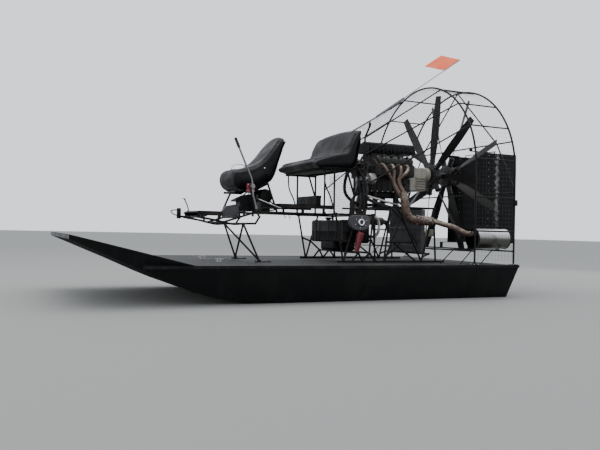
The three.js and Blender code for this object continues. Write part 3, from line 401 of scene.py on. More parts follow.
def rounded_block(low, high, radius, seam=0.0, steps=6):
    """A box whose edges are all rounded: stacked rounded rectangles, each inset by r - sqrt(r^2 - (r - d)^2) at
    a distance d below r from an end. Corners are (aft, side, up) in mm and the radius in metres."""
    a, b = np.minimum(at(*low), at(*high)), np.maximum(at(*low), at(*high))
    depth = radius * (1 - np.cos(np.linspace(0, np.pi / 2, steps)))
    inset = radius - np.sqrt(np.clip(radius ** 2 - (radius - depth) ** 2, 0, None))
    levels = np.concatenate([a[2] + depth, [a[2] + (b[2] - a[2]) * 0.5 - 0.004, (a[2] + b[2]) / 2,
                                            a[2] + (b[2] - a[2]) * 0.5 + 0.004], b[2] - depth[::-1]])
    insets = np.concatenate([inset, [0, -seam, 0], inset[::-1]])
    turn = np.linspace(0, np.pi / 2, steps)
    quarter = [(1, 1, 0), (-1, 1, 1), (-1, -1, 2), (1, -1, 3)]
    rings = []
    for level, off in zip(levels, insets):
        ring = []
        round_r = max(radius - off, 0.001)
        for sx, sy, k in quarter:
            cx = (b[0] if sx > 0 else a[0]) - sx * (off + round_r)
            cy = (b[1] if sy > 0 else a[1]) - sy * (off + round_r)
            angle = turn + k * np.pi / 2
            ring.append(np.column_stack([cx + round_r * np.cos(angle), cy + round_r * np.sin(angle),
                                         np.full(steps, level)]))
        rings.append(np.concatenate(ring))
    return skin(rings)


def plate(outline, from_side, to_side, chamfer=0.0):
    """A flat plate from an outline of (aft, up) points between two sides, its outer edge eased by a chamfer
    towards the outline's centre."""
    ring = np.array([at(a, 0, u) for a, u in outline])
    centre = ring.mean(axis=0)
    share = 1 - chamfer / np.linalg.norm(ring - centre, axis=1)[:, None]
    near, far = from_side / 1000, to_side / 1000
    ease = chamfer * np.sign(near - far)
    rows = [(near, share), (near - ease, 1.0), (far, 1.0)] if chamfer else [(near, 1.0), (far, 1.0)]
    return skin([centre * [1, 0, 1] + (ring - centre) * s * [1, 0, 1] + [0, y, 0] for y, s in rows])


DECK_JOINTS = (-3240, -2020, -820)
rivet_parts = []
for sign in (-1, 1):
    along_rim = np.arange(-3850, -40, 95.0)
    rows = np.array([at(a, sign * 1181.5, -48) for a in along_rim])
    rivet_parts += domes(rows, [0, sign, -0.25], 0.0055, 0.0025)
    lip = np.array([at(a, sign * 1172, 4) for a in np.arange(-3850, -40, 140.0)])
    rivet_parts += domes(lip, [0, 0, 1], 0.005, 0.002)
rivet_parts += domes(np.array([at(-2, s, -60) for s in np.arange(-1080, 1081, 90.0)]), [1, 0, 0], 0.0055, 0.0018)
deck_seams = [box_part((a, -1150, 0.2), (a + 46, 1150, 1.6)) for a in DECK_JOINTS]
for a in DECK_JOINTS:
    row = np.array([at(a + 23, s, 1.4) for s in np.arange(-1120, 1121, 80.0)])
    rivet_parts += domes(row, [0, 0, 1], 0.0045, 0.0018)
piece("hull_rivets", rivet_parts, rim_paint, "boat", "rim_grey")
piece("deck_joint_strips", deck_seams, deck_grey, "boat", "deck_grey")

# Deck cleats: small cast horns on two legs and a base, dull with weather.
# Each stands near the front of the seat stand.
SIDES = (("port", -1), ("starboard", 1))
CLEAT_SIDE = 320
cast_metal = weathered("cast_metal", (0.4, 0.39, 0.37), 0.45, metallic=0.9, dirt=0.4, dirt_colour=(0.2, 0.18, 0.16),
                       scale=14.0, dust_and_light=0.1, bump=0.5)
for name, sign in SIDES:
    horn = bend([(-3518, CLEAT_SIDE * sign, 24), (-3500, CLEAT_SIDE * sign, 29), (-3466, CLEAT_SIDE * sign, 28),
        (-3432, CLEAT_SIDE * sign, 29), (-3414, CLEAT_SIDE * sign, 24)], 20)
    swell = 0.006 * np.sqrt(np.clip(1 - np.linspace(-1, 1, 20) ** 6, 0.12, 1))
    legs = [tube([at(a, CLEAT_SIDE * sign, 3), at(a, CLEAT_SIDE * sign, 12), at(a, CLEAT_SIDE * sign, 26)],
        [0.009, 0.006, 0.0065], 12) for a in (-3484, -3448)]
    base = [box_part((-3502, (CLEAT_SIDE - 13) * sign, 0.5), (-3430, (CLEAT_SIDE + 13) * sign, 6))]
    screws = domes([at(a, CLEAT_SIDE * sign, 6) for a in (-3496, -3466, -3436)], [0, 0, 1], 0.004, 0.002)
    piece(f"deck_cleat_{name}", [tube(horn, swell, 12)] + legs + base + screws, cast_metal, "boat", "steel",
          f"cleat_{name}", bevel=0.0012)

# Seat stand: welded black steel tube, an X-braced trestle on two base pads. Rails run forward under the foot
# tray, aft under the passengers' platform and up to the driver's seat. Weld beads close the joints.
frame_paint = weathered("frame_paint", (0.0038, 0.0038, 0.0042), 0.42, specular=0.15, dirt=0.35,
    dirt_colour=(0.055, 0.043, 0.033), scale=7.0, rough_spread=0.15, dust_and_light=0.25, bump=0.35)
TUBE, THIN_TUBE = 11.6, 8.8
STAND_SIDE, STAND_UP = 300, 560
SEAT_LEG, SEAT_FRAME_UP = 200, 787.7


def mirrored(lines):
    """Lines on both sides of the boat, the port ones first, from the starboard ones."""
    return [tuple((a, s * sign, u) for a, s, u in line) for sign in (-1, 1) for line in lines]


stand_lines = mirrored([
    ((-3030, 405, 20), (-3200, 340, 424)), ((-3030, 405, 20), (-3200, -340, 424)),
    ((-3200, 340, 424), (-3056, 340, 428)), ((-3056, 340, 428), (-3006, 335, 505)),
    ((-3006, 335, 505), (-3030, STAND_SIDE, STAND_UP)), ((-3420, 310, 437), (-3030, STAND_SIDE, STAND_UP)),
    ((-3030, STAND_SIDE, STAND_UP), (-2160, STAND_SIDE, STAND_UP)),
    ((-3250, SEAT_LEG, SEAT_FRAME_UP), (-3047, SEAT_LEG, SEAT_FRAME_UP)),
    ((-3047, SEAT_LEG, SEAT_FRAME_UP), (-2943, SEAT_LEG, 852)), ((-2943, SEAT_LEG, 852), (-2862, SEAT_LEG, 892)),
    ((-2862, SEAT_LEG, 892), (-2736, SEAT_LEG, STAND_UP))])
thin_lines = mirrored([((-3020, 308, 575), (-2955, 308, 607)), ((-2955, 308, 607), (-2700, 308, 607))])
stand_plates = []
for sign in (-1, 1):
    stand_plates.append(box_part((-3070, 365 * sign, 0.5), (-2900, 445 * sign, 10)))
    stand_plates.append(box_part((-3045, 385 * sign, 8), (-3012, 425 * sign, 26)))
    for a, low in ((-3660, 466), (-3470, 442)):
        stand_plates.append(box_part((a - 10, 276 * sign, low), (a + 10, 298 * sign, 504.8)))
    for a in (-2700, -2450, -2190):
        stand_plates.append(box_part((a - 10, (STAND_SIDE - 8) * sign, STAND_UP),
                                     (a + 10, (STAND_SIDE + 8) * sign, 619.8)))
    for a in (-3180, -3075):
        stand_plates.append(box_part((a - 11, (STAND_SIDE - 10) * sign, 507),
                                     (a + 11, (STAND_SIDE + 10) * sign, STAND_UP + 8)))
stand_lines += [
    ((-3200, -340, 424), (-3200, 340, 424)), ((-3711, -290, 488), (-3711, 290, 488)),
    ((-3395, -312, 433), (-3395, 312, 433)), ((-3395, 0, 433), (-3240, 0, SEAT_FRAME_UP)),
    ((-2736, -STAND_SIDE, STAND_UP), (-2736, STAND_SIDE, STAND_UP)),
    ((-3240, -SEAT_LEG, SEAT_FRAME_UP), (-3240, SEAT_LEG, SEAT_FRAME_UP)),
    ((-2862, -SEAT_LEG, 892), (-2862, SEAT_LEG, 892)), ((-3711, 0, 488), (-3845, 0, 490)),
    ((-3050, -STAND_SIDE, STAND_UP), (-3112, -STAND_SIDE, 818))]
stand_plates += [box_part((-3148, -311.5, 786), (-3087, -289, 827)), box_part((-3082, -334, 698), (-3012, -302, 710)),
                 rounded_block((-3866, -22, 466), (-3824, 22, 584), 0.006, steps=3)]
stand_plates += [box_part((a, -STAND_SIDE, low), (b, STAND_SIDE, high)) for a, b, low, high in (
    (-3248, -3222, 487, 519.5), (-3195, -3165, 565, 574.8), (-3090, -3060, 565, 574.8), (-2928, -2792, 553, 563.8))]
rails = [tube(bend([(-3190, 342 * sign, 424), (-3315, 320 * sign, 417), (-3430, 310 * sign, 438),
                    (-3541, 300 * sign, 461), (-3715, 290 * sign, 488)], 30), 0.0115, 12) for sign in (-1, 1)]
nose_ring = tube(bend([(-3848, 0, 557), (-3895, 0, 561), (-3935, 0, 546), (-3902, 0, 513), (-3848, 0, 500)], 24),
                 0.006, 10)
stand_joints = {end for line in stand_lines for end in line}
pad_bolts = domes([at(a, 405 * sign + s, 10) for sign in (-1, 1) for a in (-3058, -2912) for s in (-26, 26)],
                  [0, 0, 1], 0.008, 0.006)
stand_tubes = rods(stand_lines, TUBE, 12) + rods(thin_lines, THIN_TUBE, 10) + knots(sorted(stand_joints), 14)
piece("seat_stand_tubes", stand_tubes + rails + [nose_ring], frame_paint, "boat", "frame_black", "seat_stand",
      sharp=50)
piece("seat_stand_plates", stand_plates + pad_bolts, frame_paint, "boat", "frame_black", bevel=0.0012)

# Foot tray: folded steel plate on the forward rails, with a pressed tread pattern and a rolled nose tube.
# A bent throttle pedal stands on it, and a grey painted kick panel closes the space behind it.
TREAD_STEP = 38


def treads(first, last, low, high, edge, shift):
    """Pressed treads between two places along a plate: short bars in rows across it, every other row shifted."""
    return [box_part((a, s - 34, low), (a + 7, s + 34, high)) for a in range(first, last, TREAD_STEP)
            for s in range(-edge + shift * ((a // TREAD_STEP) % 2), edge + 10, 96)]


tray = [box_part((-3700, -300, 549), (-3430, 300, 554.5))]
for sign in (-1, 1):
    tray.append(box_part((-3700, 295 * sign, 506), (-3430, 300 * sign, 553)))
    tray.append(box_part((-3697, 258 * sign, 505.4), (-3435, 298 * sign, 510)))
nose = tube(bend([(-3702, -290, 531), (-3708, -270, 540), (-3710, -120, 545), (-3710, 120, 545), (-3708, 270, 540),
                  (-3702, 290, 531)], 24), 0.010, 10)
piece("foot_tray", tray + treads(-3686, -3440, 554, 556.5, 240, 20) + [nose], frame_paint, "boat", "frame_black",
      "foot_platform", bevel=0.0008)
pedal_arm = tube(bend([(-3678, 220, 560), (-3684, 220, 600), (-3708, 220, 660), (-3730, 220, 698)], 16), 0.007, 10)
pedal_pad = [box_part((-3750, 194, 696.5), (-3710, 246, 702.5))]
pedal_foot = [box_part((-3695, 192, 555.4), (-3647, 248, 562))]
piece("foot_throttle", [pedal_arm] + pedal_pad + pedal_foot, frame_paint, "boat", "frame_black", "throttle_pedal",
      bevel=0.001)
panel_paint = weathered("panel_paint", (0.045, 0.044, 0.05), 0.5, specular=0.3, dirt=0.35,
    dirt_colour=(0.12, 0.115, 0.1), scale=5.0, dust_and_light=0.35, bump=0.3)
dress(panel_paint, "kick_panel")

# Battery box and air canister below the driver's seat: black moulded plastic, the box with a ribbed lid and a
# strap, the canister a cylinder lying across the boat with banded ends on a block.
moulded_black = weathered("moulded_black", (0.0028, 0.0028, 0.003), 0.5, specular=0.12, dirt=0.3,
                          dirt_colour=(0.035, 0.032, 0.028),
                          scale=6.0, dust_and_light=0.35, bump=0.5)
battery = [box_part((-3203, -252, 575.5), (-3027, -73, 668)), box_part((-3204, -255, 660), (-3026, -70, 690))]
battery += [box_part((a, -256, 585), (a + 10, -253, 658)) for a in range(-3190, -3030, 26)]


def turned(profile, centre, axis, sides=40):
    """A turned shape: each (radius, distance along) of the profile, in metres, is a circle about an axis
    through a centre. Axis 0 runs aft, 1 to starboard, 2 up."""
    angles = np.linspace(0, 2 * np.pi, sides, endpoint=False)
    across, over = [(1, 2), (2, 0), (0, 1)][axis]
    rings = np.zeros((len(profile), sides, 3))
    for row, (radius, along) in enumerate(profile):
        rings[row, :, axis] = along
        rings[row, :, across] = radius * np.cos(angles)
        rings[row, :, over] = radius * np.sin(angles)
    return skin(rings + np.asarray(centre, float))


battery.append(plate([(-3030, 690), (-3030, 751), (-3058, 763), (-3130, 755), (-3261, 693), (-3261, 674),
                      (-3215, 676)], -254, -72, 0.004))
battery += [tube(bend([(-3080, -160, 745), (-3090, -200, 790), (-3140, -240, 770), (-3200, -258, 720),
                       (-3215, -262, 640)], 24), 0.006, 10)]
piece("battery_case", battery, moulded_black, "boat", "plastic_black", "battery_box", sharp=40)
can_line = [(0.02, -0.165), (0.062, -0.163), (0.078, -0.154), (0.084, -0.14), (0.084, -0.10), (0.080, -0.095),
            (0.080, 0.095), (0.084, 0.10), (0.084, 0.14), (0.078, 0.154), (0.062, 0.163), (0.02, 0.165)]
can_middle = at(-2862, 0, 750)
canister = [turned(can_line, can_middle, 1), box_part((-2918, -148, 564.8), (-2807, 148, 685))]
canister.append(turned([(0.01, -0.168), (0.03, -0.167), (0.034, -0.158), (0.034, -0.15)], can_middle, 1, 28))
canister += [turned([(0.0835, s - 0.008), (0.0865, s - 0.007), (0.0865, s + 0.007), (0.0835, s + 0.008)],
                    can_middle, 1) for s in (-0.12, 0.0, 0.12)]
canister.append(tube(bend([(-2930, -60, 790), (-2965, -90, 770), (-2990, -130, 715), (-3015, -160, 650),
                           (-3028, -170, 640)], 24), 0.009, 10))
canister.append(tube(bend([(-2800, -120, 700), (-2770, -150, 660), (-2765, -180, 610), (-2790, -220, 590),
                           (-2900, -240, 580)], 24), 0.008, 10))
piece("air_canister", canister, moulded_black, "boat", "plastic_black", "canister", sharp=40)

# Seats: vinyl over foam on moulded black shells. The driver's is one deep bucket with a tall tapered back;
# the passengers' is a wide bench with a high back and a thick rolled front edge.
GRAIN_CELLS = 240.0
leather, leather_in, leather_out = new_group(
    "leather_grain", {"Colour": (0.03, 0.03, 0.03, 1.0), "Pale": (0.08, 0.08, 0.078, 1.0), "Roughness": 0.4},
    {"Colour": "Color", "Roughness": "Float", "Height": "Float"})
leather_place = add_node(leather, "TexCoord", "Object", {})
cells = add_node(leather, "TexVoronoi", "Distance", {"Vector": leather_place, "Scale": GRAIN_CELLS},
                 feature="DISTANCE_TO_EDGE")
slack = noise(leather, leather_place, 5.5, 3.0, 0.45)
scuffs = noise(leather, leather_place, 26.0, 6.0, 0.7)
worn_share = times(leather, spread(leather, scuffs, 0.52, 0.72), spread(leather, slack, 0.42, 0.62, 0.1, 0.75))
for made, place in (
        (blend_colours(leather, worn_share, leather_in.outputs["Colour"], leather_in.outputs["Pale"]), "Colour"),
        (add(leather, leather_in.outputs["Roughness"], spread(leather, slack, 0.35, 0.65, -0.08, 0.14)), "Roughness"),
        (add(leather, times(leather, spread(leather, cells, 0.0, 0.25), 0.12), times(leather, slack, 0.88)), "Height")):
    leather.links.new(made, leather_out.inputs[place])
seat_vinyl = finish("seat_vinyl", leather, {"Colour": (0.0038, 0.0038, 0.0042, 1.0),
    "Pale": (0.0105, 0.0105, 0.0102, 1.0), "Roughness": 0.48}, 0.5, 0.004, Sheen_Weight=0.02,
    Specular_IOR_Level=0.15)


def cushion(rows, steps=70, around=72, squareness=3.0):
    """A stuffed form carried along the seat's side profile. Each row is the face's (aft, up), the back's (aft, up),
    the half width, the dip and the lift. Across, the section is a superellipse |y/w|^n + |z/h|^n = 1 with n the
    squareness. Between the bolsters the face sinks by dip (1 - y^8), and the whole row rises by lift (1 - y^2)."""
    r = smooth_rows([tuple(row) + (0, 0) * (len(row) == 5) for row in rows], steps)
    face = np.column_stack([r[:, 0], np.zeros(steps), r[:, 1]]) / 1000 + [STERN, 0, DECK]
    back = np.column_stack([r[:, 2], np.zeros(steps), r[:, 3]]) / 1000 + [STERN, 0, DECK]
    middle, half = (face + back) / 2, (face - back) / 2
    width, dip, lift = (r[:, k] / 1000 for k in (4, 5, 6))
    turn = np.linspace(0, 2 * np.pi, around, endpoint=False)
    c, s = np.cos(turn), np.sin(turn)
    y = np.sign(c) * np.abs(c) ** (2 / squareness)
    h = np.sign(s) * np.abs(s) ** (2 / squareness)
    thick = np.maximum(np.linalg.norm(half, axis=1), 1e-3)
    sink = (dip / thick)[:, None] * np.where(s > 0, 1 - y ** 8, 0.0)[None]
    rings = middle[:, None] + (h[None] - sink)[..., None] * half[:, None]
    rings[..., 1] = width[:, None] * y[None]
    rings[..., 2] += lift[:, None] * (1 - y ** 2)[None]
    return skin(rings)


def rim_line(rows, side, squareness, first, last):
    """The line along a cushion's upper corner on one side, where the section's y and z are equal, from one share
    of its length to another."""
    r = smooth_rows([tuple(row)[:5] for row in rows], 60)[int(60 * first):int(60 * last)]
    corner = 0.5 ** (1 / squareness)
    face, back = r[:, 0:2], r[:, 2:4]
    along = (face + back) / 2 + corner * (face - back) / 2
    return np.column_stack([STERN + along[:, 0] / 1000, side * corner * r[:, 4] / 1000, DECK + along[:, 1] / 1000])


def near_line(path):
    """Distance from a line of points: the least distance to any of its straight parts."""
    path = np.asarray(path, float)

    def distance(points):
        best = np.full(len(points), 9.0)
        for start, end in zip(path[:-1], path[1:]):
            way = end - start
            share = np.clip((points - start) @ way / (way @ way), 0, 1)
            best = np.minimum(best, np.linalg.norm(points - start - share[:, None] * way, axis=1))
        return best
    return distance


def stuffed(name, part, voxel, swell, material, body, slot, *nodes, seams=()):
    """Makes upholstery of a form: it is remeshed evenly, blown up a little as cloth with its movement held under
    swell, and smoothed once. Each seam then presses a groove, depth exp(-(d / width)^2), where d is a
    function of the points in metres."""
    made = piece(name, [part], material, body, slot, *nodes, sharp=180)
    remesh = made.modifiers.new("even_mesh", "REMESH")
    remesh.mode = "VOXEL"
    remesh.voxel_size = voxel
    graph = bpy.context.evaluated_depsgraph_get()
    even = bpy.data.meshes.new_from_object(made.evaluated_get(graph))
    made.modifiers.clear()
    made.data = even
    start = np.empty(len(even.vertices) * 3, np.float32)
    even.vertices.foreach_get("co", start)
    cloth = made.modifiers.new("cloth", "CLOTH")
    cloth.settings.use_pressure = True
    cloth.settings.uniform_pressure_force = 4.0
    cloth.settings.effector_weights.gravity = 0.0
    cloth.settings.quality = 4
    cloth.point_cache.frame_start = 1
    cloth.point_cache.frame_end = 20
    for number in range(1, 21):
        bpy.context.scene.frame_set(number)
    graph = bpy.context.evaluated_depsgraph_get()
    blown = made.evaluated_get(graph).data
    end = np.empty(len(blown.vertices) * 3, np.float32)
    blown.vertices.foreach_get("co", end)
    made.modifiers.clear()
    bpy.context.scene.frame_set(1)
    start, end = start.reshape(-1, 3), end.reshape(-1, 3)
    move = end - start
    far = np.linalg.norm(move, axis=1, keepdims=True)
    points = start + move * np.minimum(1, swell / np.maximum(far, 1e-9))
    normals = np.empty(len(even.vertices) * 3, np.float32)
    even.vertices.foreach_get("normal", normals)
    for distance, width, depth in seams:
        points -= normals.reshape(-1, 3) * (depth * np.exp(-(distance(points) / width) ** 2))[:, None]
    even.vertices.foreach_set("co", points.astype(np.float32).ravel())
    even.polygons.foreach_set("use_smooth", np.ones(len(even.polygons), bool))
    even.update()
    finer = made.modifiers.new("finer", "SUBSURF")
    finer.levels = finer.render_levels = 1
    return made


# Driver's seat: the pad is drawn from its rolled front, over the cushion and up the back to a narrow rounded
# top, with a sewn groove round each side and across the fold. Piping and a moulded shell finish it.
driver_rows = [
    # face aft, face up, back aft, back up, half width, dip, lift
    (-3240, 850, -3234, 842, 232, 0, 0), (-3277, 872, -3242, 822, 262, 0, 0),
    (-3300, 915, -3240, 815, 279, 0, 0), (-3311, 965, -3228, 814, 284, 0, 0),
    (-3308, 1004, -3212, 814, 285, 2, 0), (-3288, 1038, -3185, 814, 285, 8, 0),
    (-3225, 1048, -3130, 815, 285, 14, 0), (-3150, 1068, -3075, 820, 285, 18, 0),
    (-3080, 1090, -3010, 836, 285, 20, 0), (-3015, 1118, -2955, 870, 285, 20, 0),
    (-2955, 1160, -2900, 908, 284, 18, 0), (-2903, 1208, -2845, 946, 281, 16, 0),
    (-2853, 1266, -2795, 1050, 276, 14, 0), (-2802, 1330, -2754, 1165, 267, 12, 4),
    (-2754, 1384, -2714, 1284, 250, 10, 10), (-2712, 1420, -2678, 1370, 226, 6, 20),
    (-2670, 1438, -2646, 1418, 186, 0, 24), (-2634, 1436, -2626, 1430, 130, 0, 20)]
driver_part = cushion(driver_rows, steps=80, around=84, squareness=4.8)
driver_rims = [near_line(rim_line(driver_rows, side, 4.8, 0.2, 0.94)) for side in (-1, 1)]
driver_fold = near_line([at(-3010, -262, 1112), at(-2985, -180, 1105), at(-2975, 0, 1100), at(-2985, 180, 1105),
                         at(-3010, 262, 1112)])
stuffed("driver_seat_cushion", driver_part, 0.006, 0.012, seat_vinyl, "boat", "vinyl_black", "driver_seat_pad",
        seams=[(rim, width, depth) for rim in driver_rims for width, depth in ((0.016, 0.005), (0.006, -0.007))]
        + [(driver_fold, 0.010, 0.008)])
shell_rows = [
    (-3226, 824, -3230, 812, 232), (-3170, 816, -3170, 801, 262), (-3060, 816, -3056, 801, 268),
    (-2960, 879, -2950, 866, 268), (-2868, 926, -2848, 917, 267), (-2812, 1012, -2793, 1010, 264),
    (-2772, 1132, -2754, 1131, 256), (-2732, 1242, -2713, 1238, 242), (-2702, 1316, -2684, 1312, 226),
    (-2652, 1402, -2634, 1398, 190),
]
shell = cushion(shell_rows, steps=60, around=64, squareness=4.0)
piece("driver_seat_back_shell", [shell], moulded_black, "boat", "plastic_black", "driver_seat_shell", sharp=60)
shell_bolts = domes([at(-2940, 285 * s, 1062) for s in (-1, 1)], [[0, -1, 0], [0, 1, 0]], 0.010, 0.012, 12)
bright_steel = weathered("bright_steel", (0.62, 0.62, 0.63), 0.28, metallic=1.0, dirt=0.3,
                         dirt_colour=(0.25, 0.22, 0.19), scale=18.0, dust_and_light=0.1, bump=0.2)
grab = tube(bend([(-3170, 268, 1000), (-3160, 262, 1060), (-3136, 258, 1118), (-3093, 256, 1140),
                  (-3020, 255, 1141), (-2972, 257, 1120), (-2960, 262, 1070)], 40), 0.0055, 10)
piece("driver_seat_grab_rail", [grab] + shell_bolts, bright_steel, "boat", "steel")
worn_steel = weathered("worn_steel", (0.2, 0.2, 0.205), 0.36, metallic=0.9, dirt=0.35, dirt_colour=(0.1, 0.085, 0.07),
                       scale=14.0, dust_and_light=0.15, bump=0.3)
conduit = tube(bend([(-3030, -327, 708), (-3010, -328, 701), (-2900, -329, 663), (-2793, -330, 626),
                     (-2740, -328, 612)], 24), 0.0065, 10)
piece("cable_conduit_end", [conduit], bright_steel, "boat", "steel", sharp=180)

# Steering stick: a bent bright steel lever with a ribbed rubber grip, turning in a red clamped bearing beside
# the driver's seat. Its lower end is below the bearing, where the cable to the rudders would join.
STICK_SIDE = -375.3
lever = tube(bend([(a, STICK_SIDE, u) for a, u in (
    (-3065, 607), (-3088, 690), (-3106, 760), (-3112, 840), (-3122, 915), (-3158, 1000), (-3200, 1088),
    (-3278, 1261))], 48), 0.0108, 14)
collar = turned([(0.014, -0.0247), (0.0225, -0.0245), (0.024, -0.020), (0.024, 0.020), (0.0225, 0.0245),
                 (0.014, 0.0247)], at(-3112, STICK_SIDE, 840), 1, 24)
eye = turned([(0.006, -0.009), (0.014, -0.009), (0.014, 0.009), (0.006, 0.009)], at(-3065, STICK_SIDE, 607), 1, 18)
piece("steering_lever", [lever, collar, eye], worn_steel, "steering_stick", "steel", "steering_stick", sharp=50)
grip_way = at(-3278, 0, 1261) - at(-3200, 0, 1088)
grip_way /= np.linalg.norm(grip_way)
grip_foot = at(-3278, STICK_SIDE, 1261) + 0.001 * grip_way
along_grip = np.linspace(0, 0.119, 61)
grip_line = grip_foot + along_grip[:, None] * grip_way
grip_swell = 0.0172 - 0.0018 * (0.5 + 0.5 * np.cos(2 * np.pi * along_grip / 0.0095)) \
    - 0.007 * np.clip((along_grip - 0.108) / 0.011, 0, 1) ** 2 - 0.005 * np.clip((0.006 - along_grip) / 0.006, 0, 1)
rubber = weathered("rubber", (0.014, 0.014, 0.015), 0.7, dirt=0.3, dirt_colour=(0.07, 0.065, 0.055), scale=12.0,
                   dust_and_light=0.3, bump=0.4)
piece("steering_grip", [tube(grip_line, grip_swell, 20)], rubber, "steering_stick", "plastic_black", "stick_grip",
      sharp=70)
red_enamel = weathered("red_enamel", (0.11, 0.004, 0.011), 0.3, specular=0.3, dirt=0.35, dirt_colour=(0.05, 0.02, 0.02),
                       scale=9.0, dust_and_light=0.2, bump=0.3, coat=0.3)
clamp = [box_part((-3166, -349, 778), (-3076, -312.8, 874)), box_part((-3168, -347, 818), (-3074, -315, 862))]
piece("steering_bearing", clamp, red_enamel, "boat", "red_paint", "stick_bearing", bevel=0.004)
clamp_bolts = domes([at(a, -349, u) for a in (-3156, -3086) for u in (790, 862)], [0, -1, 0], 0.006, 0.005)
piece("steering_bearing_bolts", clamp_bolts, bright_steel, "boat", "steel")

# Passengers' platform: a folded black plate on posts along the rails, with small hangers below it, and a low
# black locker at its aft end.
walk = [box_part((-2755, -312, 660.5), (-2060, 312, 666))]
for sign in (-1, 1):
    walk.append(box_part((-2755, 307 * sign, 622), (-2060, 312 * sign, 665)))
    walk.append(box_part((-2755, 272 * sign, 620.5), (-2060, 310 * sign, 625)))
walk += [box_part((-2755, -311, 622), (-2751, 311, 665))]
hooks = [tube(bend([(a, -312, 560), (a + 3, -318, 530), (a + 12, -318, 505), (a + 24, -318, 512)], 16), 0.004, 8)
         for a in (-2700, -2640)]
piece("walkway_plate", walk + treads(-2715, -2290, 665, 667.6, 250, 24) + hooks, frame_paint, "boat", "frame_black",
      "passenger_platform", bevel=0.0008)
locker = [box_part((-2262, -260, 666.5), (-2202, 298, 752)), box_part((-2263, -262, 748), (-2200, 300, 780))]
locker += [box_part((-2264.5, s, 676), (-2261, s + 10, 744)) for s in range(-230, 271, 100)]
piece("low_locker", locker, moulded_black, "boat", "plastic_black", "rear_box", bevel=0.004)

# Bench stand: a welded side truss each side of the tank, cross tubes under and over it, and posts up to the
# bench with thin curved stays ahead of them. Wire mesh guards hang behind the passengers' legs.
TRUSS = 520
RAIL_UP = 1067.7
CRADLE_UP = 115
truss_lines, stay_tubes = [], []
for sign in (-1, 1):
    y = TRUSS * sign
    truss_lines += [((a0, y, u0), (a1, y, u1)) for a0, u0, a1, u1 in (
        (-2094, 12.3, -1584, 12.3), (-2029, 14, -2139, 560), (-2022, 14, -1962, 227), (-1962, 227, -2080, 270),
        (-1914, 14, -1829, CRADLE_UP), (-1774, 14, -1829, CRADLE_UP), (-1774, 14, -1681, CRADLE_UP),
        (-1600, 14, -1681, CRADLE_UP), (-1962, 227, -1829, CRADLE_UP), (-2139, 560, -1640, 560),
        (-1640, 560, -1600, 14), (-1962, 227, -1860, 560), (-1640, 560, -1681, CRADLE_UP),
        (-2160, 560, -2165, RAIL_UP), (-1900, 560, -1905, RAIL_UP), (-2320, RAIL_UP, -1905, RAIL_UP),
        (-2000, RAIL_UP, -1900, 780))]
    stay_tubes.append(tube(bend([(-2295, y, RAIL_UP), (-2280, y, 900), (-2212, y, 755), (-2152, y, 580)], 24),
                           0.0087, 10))
truss_lines += [((a, -TRUSS, u), (a, TRUSS, u)) for a, u in (
    (-2139, 560), (-1640, 560), (-2300, RAIL_UP), (-2000, RAIL_UP), (-1829, CRADLE_UP),
    (-1681, CRADLE_UP))]
truss_joints = sorted({end for line in truss_lines for end in line})
piece("bench_stand_tubes", rods(truss_lines, TUBE, 12) + knots(truss_joints, 14.5) + stay_tubes, frame_paint,
      "boat", "frame_black", "bench_stand", sharp=50)
truss_plates = [box_part((-1994, -TRUSS - 5, 430), (-1700, -TRUSS + 5, 447))]
truss_plates += [box_part((a, y - 5, u), (a + 46, y + 5, u + 34)) for a, u in ((-2160, 545), (-1662, 545))
                 for y in (-TRUSS, TRUSS)]
piece("bench_stand_gussets", truss_plates, frame_paint, "boat", "frame_black", bevel=0.001)
WIRE = 0.0013


def wire_net(corners, rows, cols, radius=WIRE):
    """Welded wire mesh over a flat four-cornered patch: straight wires along both ways at even steps, between
    points that lie the same share along opposite edges."""
    a, b, c, d = (at(*corner) for corner in corners)
    wires = [tube([a + s * (b - a), d + s * (c - d)], radius, 4) for s in np.linspace(0, 1, rows)]
    return wires + [tube([a + s * (d - a), b + s * (c - b)], radius, 4) for s in np.linspace(0, 1, cols)]


mesh_steel = weathered("mesh_steel", (0.05, 0.05, 0.05), 0.45, metallic=0.6, dirt=0.3, dirt_colour=(0.08, 0.06, 0.05),
                       scale=10.0, dust_and_light=0.1, bump=0.1)
guard = wire_net([(-1903, -508, 582), (-1903, 120, 582), (-1903, 120, 1050), (-1903, -508, 1050)], 28, 18)
piece("bench_mesh_guard", guard, mesh_steel, "boat", "frame_black", sharp=180)

# Passengers' bench: a full-width vinyl pad, thick and rolled at its front, with raised bolsters that sweep up
# into the back's sides. It sits on a moulded shell that also closes its rear.
bench_rows = [(-2420, 1128, -2412, 1118, 520, 0, 0), (-2436, 1145, -2396, 1104, 568, 0, 0),
    (-2428, 1166, -2360, 1099, 577, 0, 0), (-2400, 1188, -2320, 1098, 579, 4, 0),
    (-2340, 1210, -2270, 1098, 580, 10, 0), (-2250, 1238, -2190, 1098, 580, 14, 0),
    (-2150, 1262, -2100, 1098, 580, 16, 0), (-2070, 1282, -2030, 1098, 580, 16, 0),
    (-2016, 1302, -1968, 1102, 580, 16, 0), (-1984, 1336, -1916, 1150, 579, 14, 2),
    (-1962, 1392, -1895, 1262, 578, 14, 8), (-1925, 1470, -1872, 1387, 575, 12, 20),
    (-1886, 1534, -1848, 1470, 569, 8, 30), (-1858, 1560, -1830, 1528, 556, 2, 34),
    (-1834, 1562, -1818, 1548, 515, 0, 34)]
bench_part = cushion(bench_rows, steps=80, around=132, squareness=6.0)
bench_rims = [near_line(rim_line(bench_rows, side, 6.0, 0.1, 0.95)) for side in (-1, 1)]
bench_fold = near_line([at(-2020, s, 1290 + 16 * abs(s / 560) ** 4) for s in range(-540, 541, 120)])
